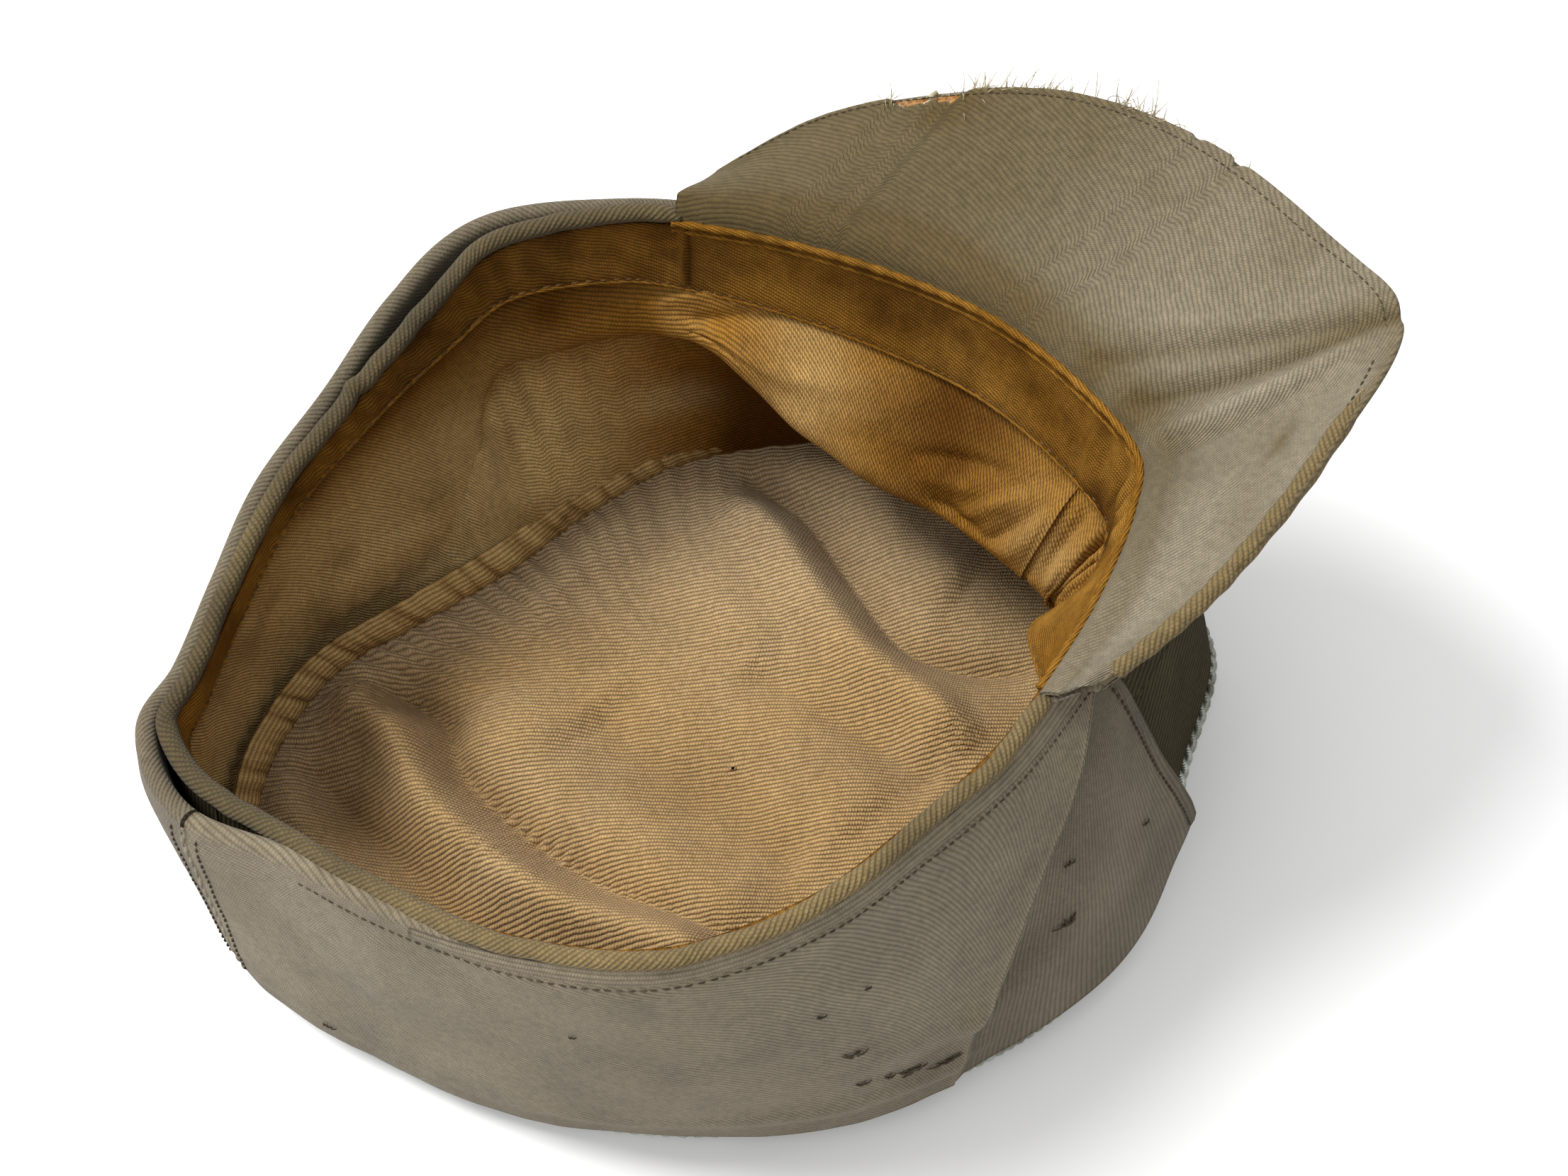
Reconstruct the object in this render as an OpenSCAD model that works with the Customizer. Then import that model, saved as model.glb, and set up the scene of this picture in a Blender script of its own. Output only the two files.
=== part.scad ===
// Military peaked field cap of twill, lying crown down with the head opening facing up.
// +Z is up out of the head opening, the peak points along -Y and the wearer's left side is -X.
// The origin is on the resting plane, under the middle of the cap.

/* [Overall size] */
// Share of the nominal size, a head size of about 57
cap_scale = 1; // [0.95:0.01:1.05]
// Height of the crown edge above the resting plane
crown_edge_z = 6; // [5.6:0.2:8]
// Outward swell of the side wall at half height
wall_swell = 2; // [0:0.5:5]

/* [Cloth] */
// Thickness of the outer twill
twill = 1.2; // [0.8:0.1:1.5]
// Thickness of the lining cloth
lining = 0.9; // [0.6:0.1:1.1]
// Air left between two layers of cloth
layer_gap = 0.5; // [0.4:0.1:0.8]

/* [Peak] */
// Thickness of the stiffening board
board = 1.6; // [1:0.1:2]
// Thickness of each peak cover
peak_cover = 0.8; // [0.6:0.1:1]
// Depth of the hollow in the peak's inner face
peak_hollow = 3; // [0:0.5:6]

/* [Flap] */
// Share of the wall height where the flap's free cloth starts
flap_top = 0.07; // [0.06:0.01:0.1]
// Share of the wall height where the flap ends at the sides and back
flap_end = 0.93; // [0.88:0.01:0.95]
// Share of the wall height where the flap ends at the front
flap_dip = 0.46; // [0.42:0.01:0.5]
// How far the flap's fold stands off the wall behind the head
flap_stand_off = 5; // [3:0.5:7]

/* [Sweatband and piping] */
// Share of the wall height that the sweatband covers
band_share = 0.27; // [0.2:0.01:0.3]
// Diameter of the cord at the crown seam
cord_d = 3; // [2:0.2:3.4]

/* [Buttons] */
// Diameter of a button's head
button_d = 12; // [10:0.5:13]
// Height of a button's domed head
button_h = 3; // [2:0.5:4]
// Diameter of the thread shank that holds a button
shank_d = 2.4; // [2:0.2:3]

/* [Hidden] */

// Head opening: the body's edge at each station, starting at the crease behind the head and
// going round by the wearer's left, the front crease (station 12) and the wearer's right.
RIM = [
    [31, 99, 71], [12, 97, 72], [-10, 86.5, 77], [-34, 75, 84], [-58, 59, 93],
    [-76, 38, 101], [-82.5, 12, 106], [-80, -10, 106], [-74.5, -34, 104], [-66.5, -53, 103.5],
    [-57, -71, 103], [-45, -88, 104], [-33, -97.5, 104.5], [-10, -97.5, 104], [12, -92.5, 103],
    [30, -83, 103], [47, -69, 104.5], [62, -53, 106], [75, -35, 106.5], [84, -8, 104],
    [81.5, 12, 95], [75, 34, 87], [67, 56, 79.5], [53, 74, 75.5], [40, 89, 72]
];
// Crown edge at the same stations, seen from above
EDGE = [
    [24, 105], [5, 105], [-13, 97], [-41, 80], [-63, 62],
    [-81, 38], [-93, 11], [-98, -15], [-99, -38], [-95, -61],
    [-85, -82], [-66, -103], [-45, -127.5], [-19, -132], [8, -128.5],
    [31, -115], [53, -96], [68, -71], [77, -42], [76, -12],
    [71, 15], [68, 42], [65, 66], [54, 86], [40, 99]
];
STATIONS = len(RIM);
// Peak: the station where each rib leaves the rim, and where it meets the outer edge
PEAK_RIBS = [8.6, 9.35, 10.25, 11.05, 12, 13, 14, 15, 16, 16.85, 17.55];
PEAK_EDGE = [
    [-73, -54, 106], [-72.5, -72, 112], [-69.5, -90, 117], [-60.5, -117, 123], [-45, -146, 128],
    [-16, -146, 128], [13, -140.5, 128], [38, -126, 127], [56, -105, 122], [68, -81, 116], [71.5, -54, 108]
];
BACK_SEAM = 1.1;
FRONT_SEAM = 13.4;
SEAM_GAP = 0.03;
LEFT_PARTING = 5.1;
RIGHT_PARTING = 20.7;
TAB_LEFT_END = 14;
TAB_RIGHT_END = 12.8;
BUTTON_STATION = 13.42;
BUTTON_LEVELS = [0.16, 0.35];
// Depth outward from the body's face at which each layer starts
BODY_IN = -twill;
LINING_OUT = BODY_IN - layer_gap;
BAND_OUT = LINING_OUT - lining - layer_gap;
FACING_IN = 2 * layer_gap;
FLAP_IN = FACING_IN + lining + layer_gap / 2;
FLAP_OUT = FLAP_IN + twill;
OVERLAP = FLAP_OUT - FACING_IN + layer_gap;
// Colours
TWILL = [0.42, 0.39, 0.33];
TAN = [0.55, 0.44, 0.28];
GOLD = [0.58, 0.42, 0.2];
SILVER = [0.72, 0.73, 0.72];
FIBRE = [0.68, 0.46, 0.25];
THREAD = [0.2, 0.17, 0.14];

function mix(a, b, k) = a * (1 - k) + b * k;
function clamp01(x) = min(1, max(0, x));
function ease(x) = let (c = clamp01(x)) c * c * (3 - 2 * c);
function unit(v) = v / norm(v);

// A smooth curve through four neighbours, between the middle two
function blend4(a, b, c, d, k) =
    0.5 * (2 * b + (c - a) * k + (2 * a - 5 * b + 4 * c - d) * k * k
    + (3 * b - a - 3 * c + d) * k * k * k);
function wrap(i) = (i % STATIONS + STATIONS) % STATIONS;
function around(list, t) =
    let (i = floor(t))
    blend4(list[wrap(i - 1)], list[wrap(i)], list[wrap(i + 1)], list[wrap(i + 2)], t - i);
function along(list, t) =
    let (n = len(list) - 1, i = min(floor(t), n - 1))
    blend4(list[max(i - 1, 0)], list[i], list[i + 1], list[min(i + 2, n)], t - i);

// The body's outer face: t is the station, s runs from the rim (0) to the crown edge (1)
function wall(t, s) =
    let (rim = around(RIM, t), low = around(EDGE, t), centre = [-8, -8])
    let (out = unit([low.x, low.y] - centre) * wall_swell * sin(180 * clamp01(s)))
    let (foot = [low.x, low.y, crown_edge_z])
    cap_scale * (mix(rim, foot, s) + [out.x, out.y, 0]);
function outward(t, s) =
    unit(cross(wall(t, s + 0.03) - wall(t, s - 0.03), wall(t + 0.1, s) - wall(t - 0.1, s)));
function layer(t, s, d) = wall(t, s) + outward(t, s) * d;

// The flap stands off the wall behind the head, most at the rim
function behind(t) =
    let (w = wrap(floor(t)) + t - floor(t))
    w < 10 ? ease((5.6 - w) / 3) : ease((w - 18) / 3);
function flap_face(t, s, d) = layer(t, s, d + flap_stand_off * behind(t) * (1 - s));
// Station of the fold where each front end of the flap leaves the side
function left_fold(s) = 8.55 - 2.6 * s + 0.95 * s * s + 1.2 * exp(-s / 0.14);
function right_fold(s) = 17 + 2.2 * s - s * s;
// Lower end of the front flap: it dips away from the crown at the front
function front_end(t) =
    mix(flap_end, flap_dip, ease((t - 9.2) / 1.4) * ease((17.8 - t) / 1.6));

// A closed sheet between two faces; face(u, v, side) gives a point for u, v and side in 0..1
module sheet(face, nu, nv, ring = false) {
    cols = ring ? nu : nu + 1;
    rows = nv + 1;
    function id(i, j, side) = side * cols * rows + (i % cols) * rows + j;
    points = [for (side = [0, 1], i = [0:cols - 1], j = [0:nv]) face(i / nu, j / nv, side)];
    skins = [for (i = [0:nu - 1], j = [0:nv - 1], side = [0, 1], half = [0, 1])
        let (a = id(i, j, side), b = id(i + 1, j, side))
        let (c = id(i + 1, j + 1, side), e = id(i, j + 1, side))
        let (tri = half == 0 ? [a, b, c] : [a, c, e])
        side == 1 ? tri : [tri[2], tri[1], tri[0]]];
    ends = [for (i = [0:nu - 1], half = [0, 1], end = [0, 1])
        let (j = end * nv, a = id(i, j, 0), b = id(i + 1, j, 0))
        let (c = id(i + 1, j, 1), e = id(i, j, 1))
        let (tri = half == 0 ? [a, b, c] : [a, c, e])
        end == 0 ? tri : [tri[2], tri[1], tri[0]]];
    sides = ring ? [] : [for (j = [0:nv - 1], half = [0, 1], end = [0, 1])
        let (i = end * nu, a = id(i, j, 0), b = id(i, j + 1, 0))
        let (c = id(i, j + 1, 1), e = id(i, j, 1))
        let (tri = half == 0 ? [a, b, c] : [a, c, e])
        end == 1 ? tri : [tri[2], tri[1], tri[0]]];
    polyhedron(points, concat(skins, ends, sides));
}

// A straight stretch of thread between two points
module thread(p, q, r) {
    v = q - p;
    translate(p)
        rotate([0, acos(v.z / norm(v)), atan2(v.y, v.x)])
            cylinder(h = norm(v), r = r, $fn = 16);
}

// A run of separate stitches along a curve given as a function of 0..1
module stitches(curve, count, r = 0.35, cover = 0.6) {
    for (i = [0:count - 1])
        thread(curve(i / count), curve((i + cover) / count), r);
}

// A piece of wall cloth between two stations and two levels
module wall_cloth(t0, t1, s0, s1, d0, d1, nu, nv) {
    sheet(function (u, v, side)
        layer(mix(t0, t1, u), mix(s0, s1, v), side == 1 ? d1 : d0), nu, nv);
}

// A point of the crown's outline at a station, moved inward by inset
CROWN_MIDDLE = [-12, -10];
function crown_point(t, inset) =
    let (p = around(EDGE, t))
    cap_scale * (p - unit(p - CROWN_MIDDLE) * inset);

module crown_top() {
    color(TWILL)
        linear_extrude(twill) polygon([for (i = [0:2 * STATIONS - 1]) crown_point(i / 2, 3.2)]);
}

module crown_piping() {
    half_faces = 4;
    r = cord_d / 2;
    color(SILVER)
        sheet(function (u, v, side)
            let (a = mix(165, 15, v), q = crown_point(u * STATIONS, -0.2 - r * cos(a)))
            [q.x, q.y, cord_d + 0.4 + (side == 1 ? 1 : -1) * r * sin(a)],
            2 * STATIONS, half_faces, ring = true);
}

// The crown's lining spans from the left edge to the right edge and rises a little in the middle
module crown_lining() {
    rise = 7;
    color(TAN)
        sheet(function (u, v, side)
            let (left = crown_point(mix(0.7, 12, u), 9.5))
            let (right = crown_point(mix(STATIONS - 0.7, 12.8, u), 9.5), q = mix(left, right, v))
            [q.x, q.y, 3.6 + rise * sin(180 * u) * sin(180 * v) + side * lining],
            20, 12);
}

module crown_seam_tape() {
    from = 16.5;
    to = 24.5;
    color(TAN)
        wall_cloth(from, to, 0.86, 0.93, BAND_OUT - lining, BAND_OUT, columns(from, to), 1);
}

// Columns that a piece of wall cloth needs, two for each station
function columns(t0, t1) = round(2 * (t1 - t0));
module body(t0, t1) {
    color(TWILL)
        wall_cloth(t0 + SEAM_GAP, t1 - SEAM_GAP, 0, 0.99, BODY_IN, 0, columns(t0, t1), 4);
}
module body_left() { body(BACK_SEAM, FRONT_SEAM); }
module body_right() { body(FRONT_SEAM, BACK_SEAM + STATIONS); }

module side_lining(t0, t1) {
    color(TAN)
        wall_cloth(t0 + SEAM_GAP, t1 - SEAM_GAP, 0.03, 0.93, LINING_OUT - lining, LINING_OUT,
            columns(t0, t1), 4);
}
module side_lining_left() { side_lining(BACK_SEAM, FRONT_SEAM); }
module side_lining_right() { side_lining(FRONT_SEAM, BACK_SEAM + STATIONS); }

module sweatband() {
    color(GOLD)
        sheet(function (u, v, side)
            layer(BACK_SEAM + u * STATIONS, mix(0.01, band_share, v),
                BAND_OUT - (side == 1 ? 0 : lining)),
            2 * STATIONS, 2, ring = true);
}

// The rolled edge of the body that closes the top of the layers
module rim_hem() {
    color(TWILL)
        sheet(function (u, v, side)
            let (t = BACK_SEAM + u * STATIONS)
            layer(t, 0, mix(BAND_OUT - lining, 0.2, v)) + [0, 0, side == 1 ? 1.8 : 0.5],
            2 * STATIONS, 2, ring = true);
}

// The strip of the flap that is sewn down along the rim
module flap_hinge_band() {
    color(TWILL)
        sheet(function (u, v, side)
            flap_face(3.2 + u * 7.2, mix(0.005, flap_top - 0.02, v), side == 1 ? FLAP_OUT : FACING_IN),
            14, 1);
}

function peak_face(u, v, lift) =
    let (k = u * (len(PEAK_RIBS) - 1))
    let (seam = around(RIM, along(PEAK_RIBS, k)), rim_out = outward(along(PEAK_RIBS, k), 0))
    let (start = seam + [rim_out.x, rim_out.y, 0] * 1.4 + [0, 0, 3.4], tip = along(PEAK_EDGE, k))
    let (hollow = peak_hollow * sin(180 * v) * sin(180 * u))
    cap_scale * (mix(start, tip, v) - [0, 0, hollow]) + [0, 0, lift];

module peak_sheet(low, high, v0, v1, nv = 4) {
    sheet(function (u, v, side)
        peak_face(mix(0.03, 0.97, u), mix(v0, v1, v), side == 1 ? high : low), 24, nv);
}
module peak_board() {
    color(FIBRE) peak_sheet(-board / 2, board / 2, 0.02, 0.985);
}
module peak_top_cover() {
    low = -board / 2 - 0.1;
    color(TWILL) peak_sheet(low - peak_cover, low, 0.03, 1);
}
module peak_under_cover() {
    low = board / 2 + 0.1;
    color(TWILL) peak_sheet(low, low + peak_cover, 0.02, 1);
}

// Flap cloth between two stations; each end station may change with the level
module flap_cloth(from, to, end, d0, d1, nu, nv = 4) {
    sheet(function (u, v, side)
        let (guess = mix(from(0.5), to(0.5), u), s = mix(flap_top, end(guess), v))
        flap_face(mix(from(s), to(s), u), s, side == 1 ? d1 : d0), nu, nv);
}
function fixed(x) = function (s) x;
FLAP_SIDE_END = function (t) flap_end;

module flap_back_left() {
    color(TWILL) flap_cloth(fixed(BACK_SEAM + SEAM_GAP), fixed(LEFT_PARTING - 0.05),
        FLAP_SIDE_END, FLAP_IN, FLAP_OUT, 8);
}
module flap_back_left_facing() {
    color(TAN) flap_cloth(fixed(BACK_SEAM + SEAM_GAP), fixed(LEFT_PARTING - 0.05),
        FLAP_SIDE_END, FACING_IN, FACING_IN + lining, 8);
}
module flap_back_right() {
    color(TWILL) flap_cloth(fixed(RIGHT_PARTING + 0.05), fixed(BACK_SEAM + STATIONS - SEAM_GAP),
        FLAP_SIDE_END, FLAP_IN, FLAP_OUT, 12);
}
module flap_back_right_facing() {
    color(TAN) flap_cloth(fixed(RIGHT_PARTING + 0.05), fixed(BACK_SEAM + STATIONS - SEAM_GAP),
        FLAP_SIDE_END, FACING_IN, FACING_IN + lining, 12);
}

module side_left(d0, d1) {
    flap_cloth(fixed(LEFT_PARTING + 0.05), function (s) left_fold(s) - 0.06,
        FLAP_SIDE_END, d0, d1, 8);
}
module flap_side_left() { color(TWILL) side_left(FLAP_IN, FLAP_OUT); }
module flap_side_left_facing() { color(TAN) side_left(FACING_IN, FACING_IN + lining); }

module side_right(d0, d1) {
    flap_cloth(function (s) right_fold(s) + 0.06, fixed(RIGHT_PARTING - 0.05),
        FLAP_SIDE_END, d0, d1, 8);
}
module flap_side_right() { color(TWILL) side_right(FLAP_IN, FLAP_OUT); }
module flap_side_right_facing() { color(TAN) side_right(FACING_IN, FACING_IN + lining); }

// The wearer's-left front end laps over the right one, so it steps outward past station 12
function lap(t) = OVERLAP * ease((t - 11.7) / 0.8);
// The left front end runs full height from its crease to a straight front edge, and goes on
// under the peak as a narrow strip: station and lower level of each of the strip's columns
function tab_front(s) = 9.5 + s;
TAB_SIDE_COLUMNS = 9;
TAB_STRIP = [
    [9.8, 0.24], [10.2, 0.26], [10.6, 0.3], [11, 0.34], [11.5, 0.4], [12, 0.44],
    [12.5, 0.46], [13, 0.46], [13.5, 0.46], [TAB_LEFT_END, 0.46]
];
module tab_left(d0, d1, strip_columns) {
    last = TAB_SIDE_COLUMNS - 1;
    count = last + strip_columns;
    sheet(function (u, v, side)
        let (i = round(u * count), step = TAB_STRIP[max(i - TAB_SIDE_COLUMNS, 0)])
        let (end = i <= last ? flap_end - 0.03 * i / last : step[1])
        let (s = mix(flap_top, end, v))
        let (t = i <= last ? mix(left_fold(s) + 0.06, tab_front(s), i / last) : step[0])
        layer(t, s, (side == 1 ? d1 : d0) + lap(t)), count, 4);
}
module tab_right(d0, d1, last) {
    sheet(function (u, v, side)
        let (guess = mix(last, right_fold(0.5), u), s = mix(flap_top, front_end(guess), v))
        let (t = mix(last, right_fold(s) - 0.06, u))
        layer(t, s, side == 1 ? d1 : d0), 14, 4);
}

function button_at(k) = wall(BUTTON_STATION, BUTTON_LEVELS[k]);
function button_axis(k) = outward(BUTTON_STATION, BUTTON_LEVELS[k]);
module on_button_axis(k, depth) {
    p = button_at(k) + button_axis(k) * depth;
    n = button_axis(k);
    translate(p) rotate([0, acos(n.z), atan2(n.y, n.x)]) children();
}

module flap_tab_left() {
    hole_r = shank_d / 2 + 0.4;
    color(TWILL) difference() {
        tab_left(FLAP_IN, FLAP_OUT, len(TAB_STRIP));
        for (k = [0, 1]) on_button_axis(k, 0) cylinder(h = 20, r = hole_r, $fn = 24);
    }
}
module flap_tab_left_facing() { color(TAN) tab_left(FACING_IN, FACING_IN + lining, 0); }
module flap_tab_right() { color(TWILL) tab_right(FLAP_IN, FLAP_OUT, TAB_RIGHT_END); }
module flap_tab_right_facing() {
    color(TAN) tab_right(FACING_IN, FACING_IN + lining, TAB_RIGHT_END + 0.2);
}

BUTTON_SEAT = FLAP_OUT + OVERLAP + 0.5;
module button(k) {
    rim_h = 0.8;
    dome_r = (pow(button_d / 2, 2) + pow(button_h - rim_h, 2)) / (2 * (button_h - rim_h));
    color(SILVER) on_button_axis(k, BUTTON_SEAT) union() {
        cylinder(h = rim_h, d = button_d, $fn = 48);
        translate([0, 0, rim_h]) intersection() {
            cylinder(h = button_h, d = button_d - 0.8, $fn = 48);
            translate([0, 0, button_h - rim_h - dome_r]) sphere(r = dome_r, $fn = 96);
        }
    }
}
module upper_button() { button(1); }
module lower_button() { button(0); }
module button_shanks() {
    from = FLAP_OUT + 0.05;
    color(THREAD) for (k = [0, 1])
        on_button_axis(k, from) cylinder(h = BUTTON_SEAT - from - 0.05, d = shank_d, $fn = 24);
}

// Threads lie this far off the cloth that they hold
THREAD_LIFT = 0.5;
// The straight-sided curve through n + 1 points of a curve, as the cloth below it is built
function faceted(curve, x, n) =
    let (i = min(floor(x * n), n - 1))
    mix(curve(i / n), curve((i + 1) / n), x * n - i);
module rim_stitching() {
    color(THREAD) stitches(function (x)
        flap_face(3.4 + x * 6.8, flap_top - 0.035, FLAP_OUT + THREAD_LIFT), 30);
}
module sweatband_stitching() {
    row = function (x)
        layer(BACK_SEAM + x * STATIONS, band_share - 0.03, BAND_OUT - lining - THREAD_LIFT);
    color(THREAD) stitches(function (x) faceted(row, x, 2 * STATIONS), 75);
}
module back_seam_stitching() {
    color(THREAD) for (side = [-1, 1]) stitches(function (x)
        flap_face(BACK_SEAM + side * 0.16, mix(0.15, 0.85, x), FLAP_OUT + THREAD_LIFT), 12);
}
module peak_stitching() {
    lift = board / 2 + peak_cover + 2 * THREAD_LIFT;
    color(THREAD) stitches(function (x) peak_face(mix(0.07, 0.93, x), 0.9, lift), 44);
}

crown_top();
crown_piping();
crown_lining();
crown_seam_tape();
body_left();
body_right();
side_lining_left();
side_lining_right();
sweatband();
rim_hem();
flap_hinge_band();
peak_board();
peak_top_cover();
peak_under_cover();
flap_back_left();
flap_back_right();
flap_back_left_facing();
flap_back_right_facing();
flap_side_left();
flap_side_right();
flap_side_left_facing();
flap_side_right_facing();
flap_tab_left();
flap_tab_right();
flap_tab_left_facing();
flap_tab_right_facing();
upper_button();
lower_button();
button_shanks();
rim_stitching();
sweatband_stitching();
back_seam_stitching();
peak_stitching();
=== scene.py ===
import math

import bpy
import numpy as np
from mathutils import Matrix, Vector


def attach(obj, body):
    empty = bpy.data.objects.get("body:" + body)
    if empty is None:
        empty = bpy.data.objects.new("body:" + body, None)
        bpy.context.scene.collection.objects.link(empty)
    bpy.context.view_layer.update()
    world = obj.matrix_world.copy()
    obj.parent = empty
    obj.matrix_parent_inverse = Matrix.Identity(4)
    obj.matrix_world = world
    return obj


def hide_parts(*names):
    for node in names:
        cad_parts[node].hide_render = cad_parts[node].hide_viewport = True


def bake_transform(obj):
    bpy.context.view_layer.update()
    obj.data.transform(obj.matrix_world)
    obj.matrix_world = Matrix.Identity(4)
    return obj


# Looks for a military peaked field cap, lying crown down with its head opening facing up.
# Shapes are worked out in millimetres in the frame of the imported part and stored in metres.
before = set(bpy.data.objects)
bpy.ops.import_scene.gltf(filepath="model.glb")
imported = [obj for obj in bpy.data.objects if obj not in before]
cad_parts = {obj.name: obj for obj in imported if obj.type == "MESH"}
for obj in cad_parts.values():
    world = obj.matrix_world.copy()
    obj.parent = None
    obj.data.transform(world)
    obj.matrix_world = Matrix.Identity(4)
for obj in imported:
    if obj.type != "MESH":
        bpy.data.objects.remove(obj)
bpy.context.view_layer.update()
MM = 0.001
RNG = np.random.default_rng(41)

# ---------------------------------------------------------------- the cap's main lines
# Head opening at each station, starting at the crease behind the head and going round by
# the wearer's left, the front crease (station 12) and the wearer's right.
RIM = np.array([
    [31, 99, 71], [12, 97, 72], [-10, 86.5, 77], [-34, 75, 84], [-58, 59, 93],
    [-76, 38, 101], [-82.5, 12, 106], [-80, -10, 106], [-74.5, -34, 104], [-66.5, -53, 103.5],
    [-57, -71, 103], [-45, -88, 104], [-33, -97.5, 104.5], [-10, -97.5, 104], [12, -92.5, 103],
    [30, -83, 103], [47, -69, 104.5], [62, -53, 106], [75, -35, 106.5], [84, -8, 104],
    [81.5, 12, 95], [75, 34, 87], [67, 56, 79.5], [53, 74, 75.5], [40, 89, 72]], float)
# Crown edge at the same stations, seen from above
EDGE = np.array([
    [24, 105], [5, 105], [-13, 97], [-41, 80], [-63, 62],
    [-81, 38], [-93, 11], [-98, -15], [-99, -38], [-95, -61],
    [-85, -82], [-66, -103], [-45, -127.5], [-19, -132], [8, -128.5],
    [31, -115], [53, -96], [68, -71], [77, -42], [76, -12],
    [71, 15], [68, 42], [65, 66], [54, 86], [40, 99]], float)
# Peak: the station where each rib leaves the rim, and where it meets the outer edge
PEAK_RIBS = np.array([8.6, 9.35, 10.25, 11.05, 12, 13, 14, 15, 16, 16.85, 17.55])[:, None]
PEAK_EDGE = np.array([
    [-73, -54, 106], [-72.5, -72, 112], [-69.5, -90, 117], [-60.5, -117, 123], [-45, -146, 128],
    [-16, -146, 128], [13, -140.5, 128], [38, -126, 127], [56, -105, 122], [68, -81, 116],
    [71.5, -54, 108]], float)
STATIONS = len(RIM)
EDGE_Z = 6.0
SWELL = 2.0
WALL_CENTRE = np.array([-8.0, -8.0])
CROWN_MIDDLE = np.array([-12.0, -10.0])
BACK_SEAM = 1.1
FRONT_SEAM = 13.4
# Layers of cloth, as depths outward from the body's face
TWILL = 1.2
LINING = 0.7
BODY_MID = -0.6
LINING_MID = -1.55
BAND_MID = -2.35
FACING_MID = 1.45
FLAP_MID = 2.75
OVERLAP = 2.85
# The flap
FLAP_END = 0.965
FLAP_DIP = 0.46
TAB_LEFT_END = 14.0
TAB_RIGHT_END = 12.8
BUTTON_STATION = 13.42
BUTTON_LEVELS = (0.35, 0.16)
BUTTON_SEAT = 6.7
# The peak
BOARD = 1.6
COVER = 0.8
HOLLOW = 3.0
PEAK_START = 3.4


UP = np.array([0, 0, 1.0])
LEVEL = np.array([1, 1, 0])


# ---------------------------------------------------------------- small maths helpers
def ease(x):
    c = np.clip(x, 0, 1)
    return c * c * (3 - 2 * c)


def mix(a, b, k):
    return a * (1 - k) + b * k


def unit(v):
    return v / np.maximum(np.linalg.norm(v, axis=-1, keepdims=True), 1e-9)


def bump(x, middle, width):
    """1 at the middle, falling smoothly to 0 over about the width."""
    return np.exp(-((x - middle) / width) ** 2)


def spline(a, b, c, d, k):
    return 0.5 * (2 * b + (c - a) * k + (2 * a - 5 * b + 4 * c - d) * k ** 2
                  + (3 * b - a - 3 * c + d) * k ** 3)


def around(table, t):
    """A smooth closed curve through the rows of a table."""
    t = np.asarray(t, float)
    i = np.floor(t).astype(int)
    rows = [table[(i + step) % len(table)] for step in (-1, 0, 1, 2)]
    return spline(*rows, (t - i)[..., None])


def along(table, t):
    """A smooth open curve through the rows of a table."""
    t = np.asarray(t, float)
    last = len(table) - 1
    i = np.clip(np.floor(t).astype(int), 0, last - 1)
    rows = [table[np.clip(i + step, 0, last)] for step in (-1, 0, 1, 2)]
    return spline(*rows, (t - i)[..., None])


def along_values(values, t):
    return along(np.array(values, float)[:, None], t)[..., 0]


def noise(p, size, seed):
    """Smooth random values in -1..1 at points p, changing over about the size."""
    q = p / size + seed * 7.31
    i = np.floor(q)
    f = ease(q - i)
    total = np.zeros(p.shape[:-1])
    for corner in np.ndindex(2, 2, 2):
        c = np.array(corner)
        key = (i + c) @ np.array([127.1, 311.7, 74.7]) + seed * 19.19
        value = np.modf(np.abs(np.sin(key) * 43758.5453))[0] * 2 - 1
        total += value * np.prod(np.where(c == 1, f, 1 - f), axis=-1)
    return total


# ---------------------------------------------------------------- the cap's surfaces
def wall(t, s):
    """The body's outer face: s runs from the rim (0) to the crown edge (1)."""
    t, s = np.broadcast_arrays(np.asarray(t, float), np.asarray(s, float))
    low = around(EDGE, t)
    foot = np.concatenate([low, np.full(low.shape[:-1] + (1,), EDGE_Z)], axis=-1)
    p = mix(around(RIM, t), foot, s[..., None])
    swell = SWELL * np.sin(np.pi * np.clip(s, 0, 1))
    p[..., :2] += unit(low - WALL_CENTRE) * swell[..., None]
    return p


def outward(t, s):
    down = wall(t, s + 0.03) - wall(t, s - 0.03)
    ahead = wall(t + 0.1, s) - wall(t - 0.1, s)
    return unit(np.cross(down, ahead))


def layer(t, s, d):
    return wall(t, s) + outward(t, s) * np.asarray(d, float)[..., None]


def flat_out(t):
    """The level direction out of the cap at a station of the rim."""
    return unit(outward(t, np.zeros_like(t)) * LEVEL)


def around_values(values, t):
    return around(np.array(values, float)[:, None], t)[..., 0]


# How far the flap's fold stands off the rim at each station
STAND_OFF = [2.4, 5, 1.4] + [0] * 13 + [0.1, 0.6, 0.8, 5.2, 6.7, 3.2, 1.7, 0.6, 0.5]
# How far the near flap swells out towards the crown at each station
FLAP_SWELL = [0.4, 1.6, 3.2, 1.3, 0.3, 0.3, 1.0, 0.8, 0.4] + [0] * 16


def stand_off(t):
    return np.maximum(around_values(STAND_OFF, t), 0)


def left_fold(s):
    return 8.55 - 2.6 * s + 0.95 * s * s + 1.2 * np.exp(-s / 0.14)


def tab_front(s):
    """The left tab's straight front edge."""
    return 9.5 + s


def right_fold(s):
    return 17 + 2.2 * s - s * s


def front_end(t):
    dip = ease((t - 9.2) / 1.4) * ease((17.8 - t) / 1.6)
    return mix(FLAP_END, FLAP_DIP, dip)


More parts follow.
